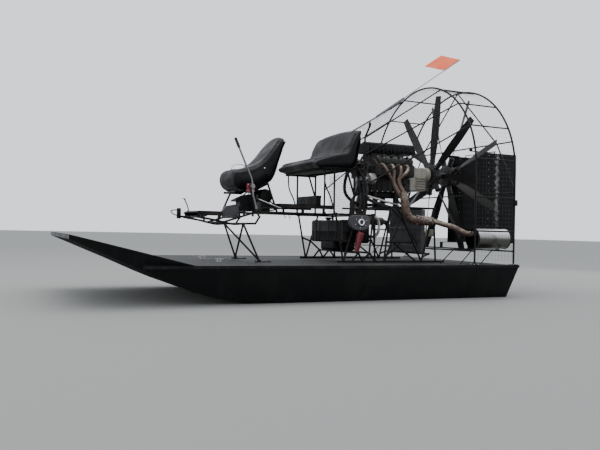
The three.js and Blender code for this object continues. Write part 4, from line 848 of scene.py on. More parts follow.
bench_creases = [near_line(line) for side in (-1, 1) for line in (
    [at(-2000, 560 * side, 1316), at(-1992, 470 * side, 1318), at(-1996, 360 * side, 1304)],
    [at(-1974, 566 * side, 1360), at(-1978, 500 * side, 1340), at(-1990, 420 * side, 1316)],
    [at(-2050, 566 * side, 1288), at(-2040, 500 * side, 1276), at(-2024, 400 * side, 1284)])]
stuffed("bench_cushion", bench_part, 0.0085, 0.014, seat_vinyl, "boat", "vinyl_black", "bench_pad",
        seams=[(rim, width, depth) for rim in bench_rims for width, depth in ((0.020, 0.006), (0.008, -0.008))]
        + [(bench_fold, 0.014, 0.012)] + [(crease, 0.010, 0.006) for crease in bench_creases])
bench_shell_rows = [
    (-2345, 1095, -2348, 1081, 545), (-2290, 1095, -2290, 1081, 566), (-2080, 1095, -2080, 1081, 569),
    (-1968, 1096, -1958, 1082, 569), (-1924, 1130, -1910, 1121, 569), (-1902, 1200, -1886, 1198, 567),
    (-1883, 1300, -1865, 1300, 562), (-1858, 1400, -1839, 1398, 550), (-1833, 1490, -1817, 1486, 510),
]
bench_back = cushion(bench_shell_rows, steps=60, around=96, squareness=7.0)
piece("bench_back_shell", [bench_back], moulded_black, "boat", "plastic_black", "bench_shell", sharp=60)

# Fuel tank: black rotomoulded plastic as wide as the stand, with a deeper belly, moulded ribs across its front,
# a filler neck and two webbing straps.
tank = [rounded_block((-1968, -498, 225), (-1662, 498, 498), 0.028, seam=0.003),
        rounded_block((-1962, -160, 128), (-1668, 230, 320), 0.030)]
tank += [rounded_block((-1969.5, s - 16, 240), (-1660.5, s + 16, 486), 0.006, steps=3)
         for s in (-420, -310, -203, 0, 245, 330, 420)]
piece("fuel_tank_body", tank, moulded_black, "boat", "plastic_black", "fuel_tank", sharp=50)
filler = turned([(0.03, 0.0), (0.03, 0.02), (0.041, 0.022), (0.041, 0.040), (0.036, 0.043), (0.01, 0.043)],
                at(-1800, 330, 496), 2, 28)
webbing = weathered("webbing", (0.02, 0.02, 0.021), 0.85, dirt=0.4, dirt_colour=(0.08, 0.075, 0.065), scale=20.0,
                    dust_and_light=0.3, bump=0.8)
straps = [box_part((-1972, s - 22, low), (end, s + 22, high))
          for low, end, high in ((226, -1969.6, 498), (498.2, -1660, 501)) for s in (-365, 365)]
piece("tank_straps", straps, webbing, "boat", "plastic_black")
piece("tank_filler", [filler], moulded_black, "boat", "plastic_black")

# Pump on the port truss: a grey rounded housing with a bright ring in its face, a red tapered bottle hung below
# it and a ribbed silver hose that loops from behind it.
pump_face = -(TRUSS + 12.3)
pump_outline = [(-1985, 450), (-1972, 418), (-1935, 388), (-1880, 373), (-1820, 374), (-1765, 388), (-1728, 420),
                (-1715, 455), (-1715, 515), (-1735, 545), (-1775, 556), (-1930, 556), (-1965, 546), (-1984, 515)]
pump = [plate(pump_outline, pump_face - 60, pump_face, 0.010)]
pump.append(turned([(0.055, -0.004), (0.058, -0.002), (0.058, 0.006)], at(-1842, pump_face - 58, 470), 1, 32))
pump_bolts = domes([at(-1842 + 78 * math.cos(v), pump_face - 60, 470 + 62 * math.sin(v)) for v in
                    np.linspace(0.4, 2 * np.pi + 0.4, 6, endpoint=False)], [0, -1, 0], 0.006, 0.004)
piece("pump_case", pump, panel_paint, "boat", "panel_grey", "pump_housing", sharp=35)
piece("pump_bolts", pump_bolts, bright_steel, "boat", "steel")
chrome = weathered("chrome", (0.78, 0.79, 0.80), 0.10, metallic=1.0, dirt=0.25, dirt_colour=(0.35, 0.32, 0.28),
                   scale=8.0, rough_spread=0.06, dust_and_light=0.12, bump=0.08)
ring_turn = np.linspace(0, 2 * np.pi, 48, endpoint=False)
ring_path = at(-1842, pump_face - 71, 470) + 0.032 * np.column_stack(
    [np.cos(ring_turn), 0 * ring_turn, np.sin(ring_turn)])
piece("pump_bright_ring", [tube(ring_path, 0.0102, 12, reference=np.array([0, 1.0, 0]), loop=True)], chrome, "boat",
      "chrome", "pump_ring", sharp=180)
bottle_way = np.array([math.sin(0.23), 0, math.cos(0.23)])
bottle_line = [(-0.120, 0.018), (-0.118, 0.023), (-0.10, 0.0262), (0.0, 0.0365), (0.09, 0.046), (0.104, 0.0478),
               (0.114, 0.044), (0.119, 0.030), (0.121, 0.012)]
bottle_path = at(-1865, pump_face - 52, 238) + np.array([h for h, _ in bottle_line])[:, None] * bottle_way
bottle = tube(bottle_path, [r for _, r in bottle_line], 28)
bottle_cap = tube([at(-1858, pump_face - 45, 345), at(-1858, pump_face - 45, 371)], 0.013, 18)
piece("red_bottle_body", [bottle, bottle_cap], red_enamel, "boat", "red_paint", "red_bottle", sharp=50)
hose_path = bend([(-1715, -480, 520), (-1660, -440, 552), (-1597, -400, 552), (-1525, -380, 545), (-1470, -372, 480),
                  (-1467, -370, 390), (-1500, -375, 330), (-1560, -380, 300)], 120)
ridges = 0.0175 + 0.002 * np.cos(np.arange(120) * np.pi)
foil = weathered("foil_hose_metal", (0.5, 0.5, 0.49), 0.32, metallic=0.85, dirt=0.4, dirt_colour=(0.25, 0.23, 0.2),
                 scale=12.0, dust_and_light=0.15, bump=0.4)
piece("ribbed_hose", [tube(hose_path, ridges, 12)], foil, "boat", "steel", sharp=80)

# Engine stand: base rails on the deck, upright braced sides and cross tubes, all black steel tube. The radiator
# stands across its aft end, finned and framed, with a small finned oil cooler outside it.
RAIL = 500
ENGINE_RAIL_UP = 668
engine_lines = []
for sign in (-1, 1):
    y = RAIL * sign
    engine_lines.append(((-1575.7, TRUSS * sign, 12.3), (-600, y, 12.3)))
    engine_lines += [((a0, y, u0), (a1, y, u1)) for a0, u0, a1, u1 in (
        (-1464, 14, -1389, ENGINE_RAIL_UP), (-1460, 14, -1230, 570), (-930, 14, -1230, 570),
        (-1230, 570, -1310, ENGINE_RAIL_UP), (-1230, 570, -1150, ENGINE_RAIL_UP), (-1439, 245, -1050, 245),
        (-1360, 255, -1010, 14), (-1230, 245, -1460, 60), (-930, 14, -760, ENGINE_RAIL_UP),
        (-720, 14, -760, ENGINE_RAIL_UP), (-1500, ENGINE_RAIL_UP, -740, ENGINE_RAIL_UP))]
    engine_lines.append(((-820, y, 105), (-900, y, 75)))
engine_lines += [((a, -RAIL, u), (a, RAIL, u)) for a, u in (
    (-1400, ENGINE_RAIL_UP), (-1100, ENGINE_RAIL_UP), (-820, ENGINE_RAIL_UP), (-820, 105))]
engine_joints = sorted({end for line in engine_lines for end in line})
engine_mounts = [rounded_block((a - 28, 132 * sign, 672), (a + 28, 183 * sign, 859.5), 0.006)
                 for sign in (-1, 1) for a in (-1400, -1100)]
piece("engine_stand_tubes", rods(engine_lines, TUBE, 12) + knots(engine_joints, 14.5) + engine_mounts, frame_paint,
      "boat", "frame_black", "engine_stand", sharp=50)
radiator_grey = weathered("radiator_grey", (0.075, 0.076, 0.08), 0.5, specular=0.3, dirt=0.35,
                          dirt_colour=(0.035, 0.031, 0.025), scale=6.0, dust_and_light=0.2, bump=0.3)
core = [rounded_block((-849, -372, 118), (-791, 372, 655), 0.006, steps=3)]
core += [rounded_block((-857, -360, low), (-783, 360, high), 0.004, steps=3)
         for low, high in ((196, 214), (418, 434))]
core += [box_part((-852, s, 128), (-848.8, s + 3, 645)) for s in np.arange(-356, 356, 11.0)]
core += [box_part((-851, -340, u), (-849, 340, u + 10)) for u in np.arange(140, 640, 34.0)]
piece("radiator_core", core, radiator_grey, "boat", "panel_grey", "radiator")
alloy_cast = weathered("alloy_cast", (0.32, 0.30, 0.255), 0.5, metallic=0.5, dirt=0.55,
                       dirt_colour=(0.22, 0.19, 0.14), scale=9.0, dust_and_light=0.3, bump=0.7, depth=0.0008)
white_fins = [rounded_block((-780, -380, 320), (-660, -362, 409), 0.003, steps=3)]
white_fins += [box_part((-775, -397.5, u), (-665, -364, u + 6)) for u in range(325, 400, 14)]
white_fins += [box_part((-789, -371, 350), (-770, -362, 380))]
piece("oil_cooler_fins", white_fins, alloy_cast, "boat", "alloy", "oil_cooler")

# Engine: a cast V8 block and sump, heads with ribbed bright covers, a long ribbed black intake box on top, coil
# leads, and pulleys with a belt at its front end. The block carries dark oily dirt.
iron = weathered("cast_iron", (0.015, 0.0145, 0.014), 0.52, specular=0.3, metallic=0.2, dirt=0.5,
    dirt_colour=(0.045, 0.034, 0.026), scale=8.0, rough_spread=0.15, dust_and_light=0.25, bump=0.9, depth=0.0009)
block_parts = [rounded_block((-1500, -188, 862), (-902, 188, 1049), 0.012),
               rounded_block((-1460, -110, 801), (-960, 110, 900), 0.025),
               rounded_block((-1478, -178, 1000), (-922, 178, 1238), 0.012),
               rounded_block((-1440, -113, 1200), (-962, 113, 1359), 0.012)]
for sign in (-1, 1):
    block_parts += [rounded_block((a, 186 * sign, 880), (a + 22, 196 * sign, 1040), 0.003, steps=3)
                    for a in range(-1480, -920, 78)]
    block_parts.append(turned([(radius, along * sign) for radius, along in (
        (0.02, 0.0), (0.044, 0.004), (0.046, 0.02), (0.046, 0.082), (0.036, 0.096), (0.01, 0.098))],
        at(-1015, 188 * sign, 930), 1, 24))
block_bolts = domes([at(a, 188 * sign, u) for sign in (-1, 1) for a in range(-1470, -920, 78) for u in (872, 1036)],
                    [0, -1, 0], 0.007, 0.005)
piece("engine_casting", block_parts, iron, "boat", "engine_dark", "engine_block", sharp=50)
piece("engine_casting_bolts", block_bolts, bright_steel, "boat", "steel")


def across_plate(outline, from_aft, to_aft, ease=0.0):
    """A solid with an outline of (side, up) points, carried along the boat, its ends eased by a chamfer."""
    ring = np.array([at(0, s, u) for s, u in outline])
    centre = ring.mean(axis=0)
    share = 1 - ease / np.linalg.norm(ring - centre, axis=1)[:, None]
    a, b = STERN + from_aft / 1000, STERN + to_aft / 1000
    rows = [(a, share), (a + ease, 1.0), (b - ease, 1.0), (b, share)] if ease else [(a, 1.0), (b, 1.0)]
    return skin([(centre + (ring - centre) * s) * [0, 1, 1] + [x, 0, 0] for x, s in rows])


LIFT = np.array([80.0, 115.0]) / math.hypot(80, 115)
PORTS = (-1425, -1290, -1180, -1075)
COILS = (-1400, -1272, -1160, -1040)


def raised(line, sign):
    """(side, up) points from (side, up, rise) ones, each raised square to the head's slanted top."""
    return [((s + LIFT[0] * o) * sign, u + LIFT[1] * o) for s, u, o in line]


cover_dark = weathered("cover_dark", (0.022, 0.021, 0.02), 0.36, metallic=0.3, dirt=0.5,
    dirt_colour=(0.06, 0.047, 0.035), scale=8.0, dust_and_light=0.25, bump=0.5)
for name, sign in SIDES:
    head = [(190.3, 1055), (322, 1055), (330, 1063), (330, 1196), (322, 1203), (215, 1279), (190.3, 1279)]
    head_parts = [across_plate([(s * sign, u) for s, u in head], -1480, -940, 0.004)]
    head_parts += [rounded_block((a - 26, 318 * sign, 1160), (a + 26, 329.5 * sign, 1212), 0.004, steps=3)
                   for a in PORTS]
    piece(f"head_{name}", head_parts, iron, "boat", "engine_dark", f"cylinder_head_{name}", bevel=0.002)
    line = [(320, 1207, 1), (325, 1204, 12), (323, 1203, 13), (312, 1209, 50), (300, 1219, 60), (250, 1254, 60),
            (238, 1262, 50), (226, 1273, 13), (222, 1275, 12), (220, 1277, 1)]
    cover = [across_plate(raised(line, sign), -1458, -962, 0.006)]
    rib = [(s, u, o + (2.5 if o > 20 else 0)) for s, u, o in line]
    ribs = [across_plate(raised(rib, sign), a, a + 9) for a in range(-1430, -980, 30)]
    piece(f"cover_{name}", cover + ribs, cover_dark, "boat", "alloy", f"valve_cover_{name}", sharp=35)
    normal = np.array([0, LIFT[0] * sign, LIFT[1]])
    spots = [at(a, *raised([(273, 1237, 61)], sign)[0]) for a in range(-1440, -970, 92)]
    coils = domes(spots, normal, 0.011, 0.010, sides=8)
    coils += [tube([at(a, *p) for p in raised([(268, 1240, 58), (268, 1240, 82)], sign)], 0.016, 10) for a in COILS]
    piece(f"coils_{name}", coils, moulded_black, "boat", "plastic_black", sharp=50)
    leads = [tube(bend([(a, *raised([(268, 1240, 80)], sign)[0]), (a + 8, 345 * sign, 1318),
                        (a + 14, 372 * sign, 1270), (a + 12, 352 * sign, 1225), (a + 10, 334 * sign, 1140)], 22),
                  0.0045, 8) for a in COILS]
    piece(f"plug_leads_{name}", leads, rubber, "boat", "plastic_black", sharp=180)

box_line = [(-148, 1360.5), (148, 1360.5), (164, 1380), (168, 1402), (160, 1440), (146, 1468), (120, 1484),
            (88, 1492), (-88, 1492), (-120, 1484), (-146, 1468), (-160, 1440), (-168, 1402), (-164, 1380)]
intake = [across_plate(box_line, -1498, -812, 0.014)]
intake += [across_plate([(s * 1.012, (u - 1425) * 1.035 + 1425) for s, u in box_line if u > 1370], a, a + 16, 0.003)
           for a in range(-1470, -830, 54)]
intake.append(turned([(0.02, -0.052), (0.075, -0.05), (0.08, -0.04), (0.08, 0.0)], at(-1448, 0, 1425), 0,
                     32))
piece("intake_box", intake, moulded_black, "boat", "plastic_black", "air_box", sharp=35)
screen = wire_net([(-1500, -150, 1462), (-815, -150, 1462), (-815, 150, 1462), (-1500, 150, 1462)], 2, 2, 0.004)
piece("intake_box_frame", screen, frame_paint, "boat", "frame_black", sharp=180)

wheels = [rounded_block((-1524, -148, 882), (-1501, 148, 1178), 0.008)]
for u, r in ((930, 0.080), (1110, 0.066)):
    wheels.append(turned([(0.02, -0.074), (0.03, -0.0745), (r * 0.72, -0.066), (r * 0.9, -0.0735), (r, -0.0735),
                          (r, -0.070), (r - 0.008, -0.066), (r - 0.008, -0.058), (r, -0.054), (r, -0.050),
                          (r * 0.75, -0.048), (r * 0.75, -0.020)], at(-1501, 0, u), 0, 40))
piece("front_drive_wheels", wheels, worn_steel, "boat", "steel", "front_pulleys", sharp=35)
body_line = [(0.02, -0.100), (0.046, -0.099), (0.060, -0.093), (0.068, -0.082), (0.070, -0.07), (0.070, -0.022),
             (0.065, -0.010), (0.05, 0.0), (0.02, 0.001)]
alternator_face = at(-1487, -285, 1010)
alternator = [turned(body_line, alternator_face, 0, 36),
              turned([(0.01, -0.139), (0.027, -0.139), (0.028, -0.134), (0.023, -0.128), (0.023, -0.120),
                      (0.028, -0.114), (0.028, -0.106), (0.02, -0.1)], alternator_face, 0, 24),
              box_part((-1524.5, -232, 987), (-1503, -150.5, 1033))]
alternator += [box_part((-1580, -285 + 60 * math.cos(v) - 3, 1010 + 60 * math.sin(v) - 3),
                        (-1500, -285 + 70 * math.cos(v) + 3, 1010 + 70 * math.sin(v) + 3))
               for v in np.linspace(0, 2 * np.pi, 10, endpoint=False)]
piece("alternator_body", alternator, cast_metal, "boat", "alloy", "alternator", sharp=35)
WHEELS = (((0, 930), 80), ((0, 1110), 66), ((-285, 1010), 28))
BELT_LIFT = 2
leaving = []
for (near, r0), (far, r1) in zip(WHEELS, WHEELS[1:] + WHEELS[:1]):
    way = np.subtract(far, near)
    lean = math.asin((r0 - r1) / np.linalg.norm(way))
    leaving.append(math.atan2(-way[0], way[1]) + lean)
belt_path = []
for (centre, radius), start, end in zip(WHEELS[1:] + WHEELS[:1], leaving, leaving[1:] + leaving[:1]):
    for v in np.linspace(start, start + (end - start) % (2 * math.pi), 14):
        belt_path.append(at(-1563, centre[0] + (radius + BELT_LIFT) * math.cos(v),
                            centre[1] + (radius + BELT_LIFT) * math.sin(v)))
piece("drive_belt", [tube(np.array(belt_path), 0.0055, 8, reference=np.array([1.0, 0, 0]), loop=True)], rubber, "boat",
      "plastic_black", sharp=180)
hose_runs = [
    ([(-1505, 95, 1150), (-1560, 130, 1170), (-1620, 200, 1080), (-1600, 260, 860), (-1400, 300, 730),
      (-1100, 330, 720), (-900, 300, 690), (-822, 260, 640)], 0.021),
    ([(-1505, -90, 900), (-1550, -120, 870), (-1560, -200, 790), (-1450, -260, 720), (-1200, -280, 640),
      (-980, -300, 400), (-862, -300, 240), (-850, -300, 180)], 0.021),
    ([(-1670, -250, 560), (-1600, -220, 620), (-1540, -150, 760), (-1520, -80, 900), (-1470, 30, 1290)], 0.009),
    ([(-950, 205, 960), (-880, 240, 900), (-800, 210, 760), (-770, 120, 700), (-770, 60, 650)], 0.012),
    ([(-1400, -200, 1110), (-1530, -250, 1180), (-1600, -230, 1100), (-1640, -260, 900), (-1660, -300, 700),
      (-1650, -330, 590)], 0.011),
    ([(-1745, -330, 575), (-1700, -300, 700), (-1690, -250, 860), (-1600, -210, 1000), (-1510, -196, 1060)], 0.008),
    ([(-1690, -420, 575), (-1640, -360, 690), (-1655, -300, 850), (-1640, -270, 1010), (-1560, -230, 1130)], 0.011),
    ([(-1760, -200, 575), (-1730, -210, 760), (-1660, -190, 940), (-1640, -130, 1130), (-1560, -60, 1260),
      (-1505, -40, 1330)], 0.014),
    ([(-1765, -440, 620), (-1735, -400, 760), (-1730, -330, 930), (-1680, -250, 1090), (-1600, -160, 1190),
      (-1490, -130, 1240)], 0.007),
    ([(-1640, -240, 1165), (-1600, -120, 1190), (-1610, 60, 1180), (-1560, 180, 1120), (-1500, 192, 1080)], 0.012),
    ([(-1680, -440, 800), (-1660, -420, 900), (-1700, -380, 1010), (-1720, -300, 1120), (-1690, -260, 1160)], 0.009),
    ([(-1730, -480, 800), (-1700, -470, 880), (-1640, -380, 960), (-1580, -330, 1000), (-1545, -300, 1010)], 0.010),
    ([(-1775, -505, 900), (-1730, -440, 850), (-1660, -330, 830), (-1600, -200, 870), (-1530, -60, 930)], 0.010),
    ([(-1775, -505, 1270), (-1720, -440, 1230), (-1650, -350, 1150), (-1620, -290, 1060), (-1580, -280, 1020)], 0.008),
    ([(-1700, -120, 575), (-1690, -60, 720), (-1600, -20, 820), (-1505, 0, 870)], 0.016)]
relays = [rounded_block((-1715, -310, 1040), (-1655, -190, 1190), 0.010, steps=4),
          rounded_block((-1700, -330, 905), (-1650, -250, 985), 0.008, steps=4),
          rounded_block((-1752, -500, 640), (-1700, -400, 800), 0.010, steps=4)]
piece("relay_boxes", relays, moulded_black, "boat", "plastic_black", sharp=50)
piece("relay_brackets", rods([((-1770, -TRUSS, 1110), (-1685, -250, 1110)), ((-1770, -TRUSS, 945), (-1675, -290, 945))],
                             7, 10), frame_paint, "boat", "frame_black", sharp=50)
coolant = [tube(bend([(-1700, -420, 800), (-1640, -430, 786), (-1450, -436, 742), (-1260, -440, 700),
                      (-1235, -440, 680)], 30), 0.0125, 14)]
piece("coolant_pipe", coolant, foil, "boat", "steel", sharp=60)
piece("engine_hoses", [tube(bend(points, 60), r, 12) for points, r in hose_runs], rubber, "boat", "plastic_black",
      sharp=180)

# Gearbox: a cast alloy reduction case, ribbed across, with a bolted flange at the engine and a round nose that
# both propeller shafts come out of.
PROP_UP = 1129
gear = [rounded_block((-899.5, -148, 901), (-790, 148, 1214), 0.014),
    rounded_block((-791, -130, 906), (-620, 130, 1204), 0.016)]
gear += [rounded_block((-788, -149, 925 + 34 * k), (-625, 149, 937 + 34 * k), 0.004, steps=3) for k in range(5)]
gear += [rounded_block((-899, -149.5, 899), (-880, 149.5, 1215), 0.01, steps=4)]
gear.append(turned([(0.05, 0.0), (0.096, 0.0), (0.096, 0.03), (0.088, 0.036), (0.088, 0.072), (0.094, 0.078),
                    (0.094, 0.098), (0.05, 0.0995)], at(-620, 0, PROP_UP), 0, 48))
gear_bolts = domes([at(-790, s, u) for s in (-140, 140) for u in range(925, 1200, 52)], [1, 0, 0], 0.008, 0.007)
gear_bolts += domes([at(-522, 74 * math.cos(v), PROP_UP + 74 * math.sin(v)) for v in
                     np.linspace(0, 2 * np.pi, 10, endpoint=False)], [1, 0, 0], 0.006, 0.001)
piece("gear_case", gear, alloy_cast, "boat", "alloy", "gearbox", sharp=40)
piece("gear_case_bolts", gear_bolts, bright_steel, "boat", "steel")

# Exhausts: thin steel tube, rusted and heat-stained tan. Four tubes a side leave the head, pair up and join a
# trunk that drops outside the stand; then come a flanged can, a narrower pipe and a bright muffler.
scale_rust, rust_in, rust_out = new_group(
    "heat_scale", {"Bare": (0.105, 0.068, 0.05, 1.0), "Scale Colour": (0.028, 0.015, 0.011, 1.0),
                   "Ash And Highlight": (0.5, 0.43, 0.35, 1.0), "Roughness": 0.48},
    {"Colour": "Color", "Roughness": "Float", "Height": "Float"})
rust_place = add_node(scale_rust, "TexCoord", "Object", {})
wide = noise(scale_rust, rust_place, 5.0, 4.0)
close = noise(scale_rust, rust_place, 38.0, 5.0, 0.65)
# Painted highlight: upward faces lean further to the pale ash colour, as if lit from above; elsewhere ash and bare
# metal vary at random.
lit = add(scale_rust, wide, times(scale_rust, facing_up(scale_rust), 0.16))
ash_and_highlight = blend_colours(scale_rust, spread(scale_rust, lit, 0.52, 0.70), rust_in.outputs["Bare"], rust_in.outputs["Ash And Highlight"])
mottling = spread(scale_rust, add(scale_rust, times(scale_rust, wide, 0.4), times(scale_rust, close, 0.6)), 0.46, 0.62)
for made, place in (
        (blend_colours(scale_rust, mottling, ash_and_highlight, rust_in.outputs["Scale Colour"]), "Colour"),
        (add(scale_rust, rust_in.outputs["Roughness"], spread(scale_rust, close, 0.3, 0.7, -0.15, 0.2)), "Roughness"),
        (close, "Height")):
    scale_rust.links.new(made, rust_out.inputs[place])
rusted = finish("rusted_exhaust", scale_rust, {}, 0.5, 0.0012, Metallic=0.35)
brushed = weathered("brushed_can", (0.8, 0.8, 0.79), 0.27, metallic=1.0, dirt=0.25, dirt_colour=(0.3, 0.28, 0.25),
                    scale=7.0, rough_spread=0.12, dust_and_light=0.1, bump=0.15)
# Painted shade and reflection: the can's colour darkens from its top down to its sides and underside, standing in for
# dark ground mirrored in it.
can_tree = brushed.node_tree
can_shader = can_tree.nodes["Principled BSDF"]
can_colour = can_shader.inputs["Base Color"].links[0].from_socket
can_tree.links.new(blend_colours(can_tree, spread(can_tree, facing_up(can_tree), 0.0, 0.75),
                                 (0.13, 0.13, 0.115, 1.0), can_colour), can_shader.inputs["Base Color"])
CAN_START = -1055
TRUNK_SIDE, TRUNK_UP = 574, 517
MUFFLER_SIDE, MUFFLER_UP = 850, 310
for name, sign in SIDES:
    def pipe(points, radius, steps=40, sides=16):
        return tube(bend([(a, s * sign, u) for a, s, u in points], steps), radius, sides)
    header = [pipe([(port, 330.5, 1184), (port, 375, 1180), middle, low], 0.0195) for port, middle, low in zip(
        PORTS, ((-1400, 415, 1120), (-1295, 420, 1110), (-1195, 420, 1110), (-1100, 415, 1120)),
        ((-1330, 425, 1010), (-1300, 425, 1000), (-1235, 425, 1000), (-1215, 425, 1020)))]
    header += [pipe([(a, 424, 1030), (b, 434, 950), (c, 480, 850), (d, 530, 780)], 0.0275, 40, 18)
               for a, b, c, d in ((-1318, -1300, -1265, -1230), (-1238, -1226, -1195, -1215))]
    header += [
        pipe([(-1222, 520, 840), (-1230, 570, 720), (-1214, TRUNK_SIDE, 620), (-1160, TRUNK_SIDE, 540),
              (CAN_START - 30, TRUNK_SIDE, TRUNK_UP), (CAN_START - 4, TRUNK_SIDE, TRUNK_UP)], 0.0495, 60, 28),
        turned([(0.048, -0.02), (0.061, -0.019), (0.062, -0.016), (0.062, -0.003), (0.06, 0.0)],
               at(CAN_START, TRUNK_SIDE * sign, TRUNK_UP), 0, 32),
    ]
    header += [tube([at(a, 330.6 * sign, 1184), at(a, 337 * sign, 1184)], 0.031, 18) for a in PORTS]
    welds = [pipe(ends, 0.0525, 4, 28) for ends in (
        [(-1232, 560, 742), (-1231, 567, 734)], [(-1187, TRUNK_SIDE, 570), (-1180, TRUNK_SIDE, 562)])]
    piece(f"header_tubes_{name}", header + welds, rusted, "boat", "rust", f"header_{name}", sharp=50)
    can_path = [at(CAN_START + 0.5, TRUNK_SIDE * sign, TRUNK_UP), at(CAN_START + 18, TRUNK_SIDE * sign, TRUNK_UP)]
    can_body = tube([at(-1040, TRUNK_SIDE * sign, TRUNK_UP), at(-1030, TRUNK_SIDE * sign, 516.6),
        at(-1010, 575 * sign, 515.7), at(-860, 578.4 * sign, 507.5), at(-840, 579 * sign, 506),
        at(-826, 579.6 * sign, 505)], [0.05, 0.056, 0.0575, 0.0575, 0.053, 0.036], 32)
    tail = pipe([(-850, 579, 506), (-790, 588, 502), (-715, 652, 474), (-640, 740, 440), (-580, 808, 398),
                 (-530, MUFFLER_SIDE, 368), (-480, MUFFLER_SIDE, 365), (-441, MUFFLER_SIDE, 365)], 0.033, 60, 22)
    bands = [turned([(0.045, -0.006), (0.0385, -0.006), (0.0385, 0.006), (0.033, 0.006)],
        at(-470, MUFFLER_SIDE * sign, 365), 0, 24)]
    piece(f"tail_pipe_{name}", [tube(can_path, 0.0615, 32), can_body, tail] + bands, rusted, "boat", "rust",
          f"exhaust_pipe_{name}", sharp=40)
    bolts = domes([at(CAN_START - 10, (TRUNK_SIDE + 56 * math.cos(v)) * sign, TRUNK_UP + 56 * math.sin(v)) for v in
                   (0.5, 2.1, 3.7, 5.3)], [-1, 0, 0], 0.007, 0.012)
    piece(f"flange_bolts_{name}", bolts, bright_steel, "boat", "steel")
    can = [(0.05, -0.250), (0.112, -0.250), (0.121, -0.247), (0.126, -0.240), (0.127, -0.232), (0.1235, -0.226),
           (0.1235, -0.2), (0.1245, -0.1), (0.1245, 0.1), (0.1235, 0.2), (0.1235, 0.226), (0.127, 0.232),
           (0.126, 0.240), (0.121, 0.247), (0.112, 0.250), (0.05, 0.250)]
    mouth = tube([at(56, MUFFLER_SIDE * sign, 280), at(60, MUFFLER_SIDE * sign, 280)], 0.03, 24)
    piece(f"muffler_can_{name}", [turned(can, at(-190, MUFFLER_SIDE * sign, MUFFLER_UP), 0, 72), mouth], brushed,
        "boat", "chrome", f"muffler_{name}", sharp=40)
    girdles = [turned([(0.124, -0.009), (0.1272, -0.009), (0.1272, 0.009), (0.124, 0.009)],
                      at(a, MUFFLER_SIDE * sign, MUFFLER_UP), 0, 72) for a in (-431, 51)]
    piece(f"muffler_end_rings_{name}", girdles, frame_paint, "boat", "frame_black", sharp=40)

# Propeller cage: two rolled steel hoops on deck feet, joined by stringers, with crossed stays in the rear one and
# three stays a side forward to the posts behind the bench. Welded wire mesh covers it, except for its open back.
HOOP_R = 1131
FRONT_HOOP, REAR_HOOP = -624, -42
POST_AFT = -1770


def hoop_at(aft, up_or_turn, sign=None):
    """A hoop's (aft, side, up) at a height on one side, or at a turn in radians from the port side, over the top."""
    if sign is None:
        return (aft, -HOOP_R * math.cos(up_or_turn), PROP_UP + HOOP_R * math.sin(up_or_turn))
    rise = up_or_turn - PROP_UP
    return (aft, sign * (math.sqrt(HOOP_R ** 2 - rise ** 2) if rise > 0 else HOOP_R), up_or_turn)


def hoop_path(aft, foot, steps=96):
    """A hoop's centre line: straight up one side, half a circle over the top, and down the other side."""
    turn = np.linspace(0, np.pi, steps)
    arc = np.array([at(*hoop_at(aft, v)) for v in turn])
    return np.concatenate([[at(aft, -HOOP_R, foot)], [at(aft, -HOOP_R, (foot + PROP_UP) / 2)], arc,
                           [at(aft, HOOP_R, (foot + PROP_UP) / 2)], [at(aft, HOOP_R, foot)]])


LOW_BAR, UPPER_BAR = 165, 1490
RUDDER_SIDE = 300
ahead_axis = np.array([1.0, 0.0, 0.0])
hoop_feet = {aft: [box_part((aft - 40, HOOP_R * s - 40, 4.4), (aft + 40, HOOP_R * s + 40, 11)) for s in (-1, 1)]
             for aft in (FRONT_HOOP, REAR_HOOP)}
foot_bolts = domes([at(aft + a, HOOP_R * s + b, 11) for aft in (FRONT_HOOP, REAR_HOOP) for s in (-1, 1)
                    for a in (-29, 29) for b in (-29, 29)], [0, 0, 1], 0.007, 0.006)
front = [tube(hoop_path(FRONT_HOOP, 8), 0.0118, 14, reference=ahead_axis)]
front += rods([((FRONT_HOOP, -HOOP_R, LOW_BAR), (FRONT_HOOP, HOOP_R, LOW_BAR))], 9, 10)
piece("cage_front_hoop_tube", front + hoop_feet[FRONT_HOOP], frame_paint, "boat", "frame_black", "cage_front_hoop",
      sharp=50)
piece("cage_foot_bolts", foot_bolts, bright_steel, "boat", "steel")
rear = [tube(hoop_path(REAR_HOOP, 8), 0.0118, 14, reference=ahead_axis)] + hoop_feet[REAR_HOOP]
rear_lines, rear_blocks = [], []
for sign in (-1, 1):
    for up in (2180, 1950, 1656, 1250, 800, 400):
        rear_lines.append((hoop_at(FRONT_HOOP + 12.3, up, sign), hoop_at(REAR_HOOP, up, sign)))
    rear_lines += [((REAR_HOOP, 0, PROP_UP + HOOP_R), (REAR_HOOP, 800 * sign, UPPER_BAR)),
                   ((REAR_HOOP, 800 * sign, UPPER_BAR), hoop_at(REAR_HOOP, 890, sign))]
    near, far = RUDDER_SIDE * sign - 25, RUDDER_SIDE * sign + 25
    rear_blocks.append(box_part((REAR_HOOP - 8, 822 * sign, LOW_BAR), (REAR_HOOP + 8, 878 * sign, 182.7)))
    for arm_low, arm_high, post_low, post_high in ((1450.6, 1457.6, 1451, 1489), (239.2, 246.4, 166, 246)):
        rear_blocks += [box_part((REAR_HOOP, near, arm_low), (230, far, arm_high)),
                        box_part((REAR_HOOP - 7, near, post_low), (REAR_HOOP + 7, far, post_high))]
rear_lines += [(hoop_at(REAR_HOOP, up, -1), hoop_at(REAR_HOOP, up, 1)) for up in (UPPER_BAR, 870, LOW_BAR)]
rear_joints = sorted({end for line in rear_lines for end in line if end[0] > FRONT_HOOP + 20})
rear += rods(rear_lines, THIN_TUBE, 10) + rear_blocks + knots(rear_joints, 11)
piece("cage_rear_hoop_tube", rear, frame_paint, "boat", "frame_black", "cage_rear_hoop", sharp=50)
hoop_clip = [rounded_block((REAR_HOOP - 12, -HOOP_R - 13, 712), (REAR_HOOP + 40, -HOOP_R + 14, 782), 0.005, steps=3)]
piece("cage_clip", hoop_clip, frame_paint, "boat", "frame_black")
STAYS = ((1470, 2180), (1270, 1950), (900, 1656))
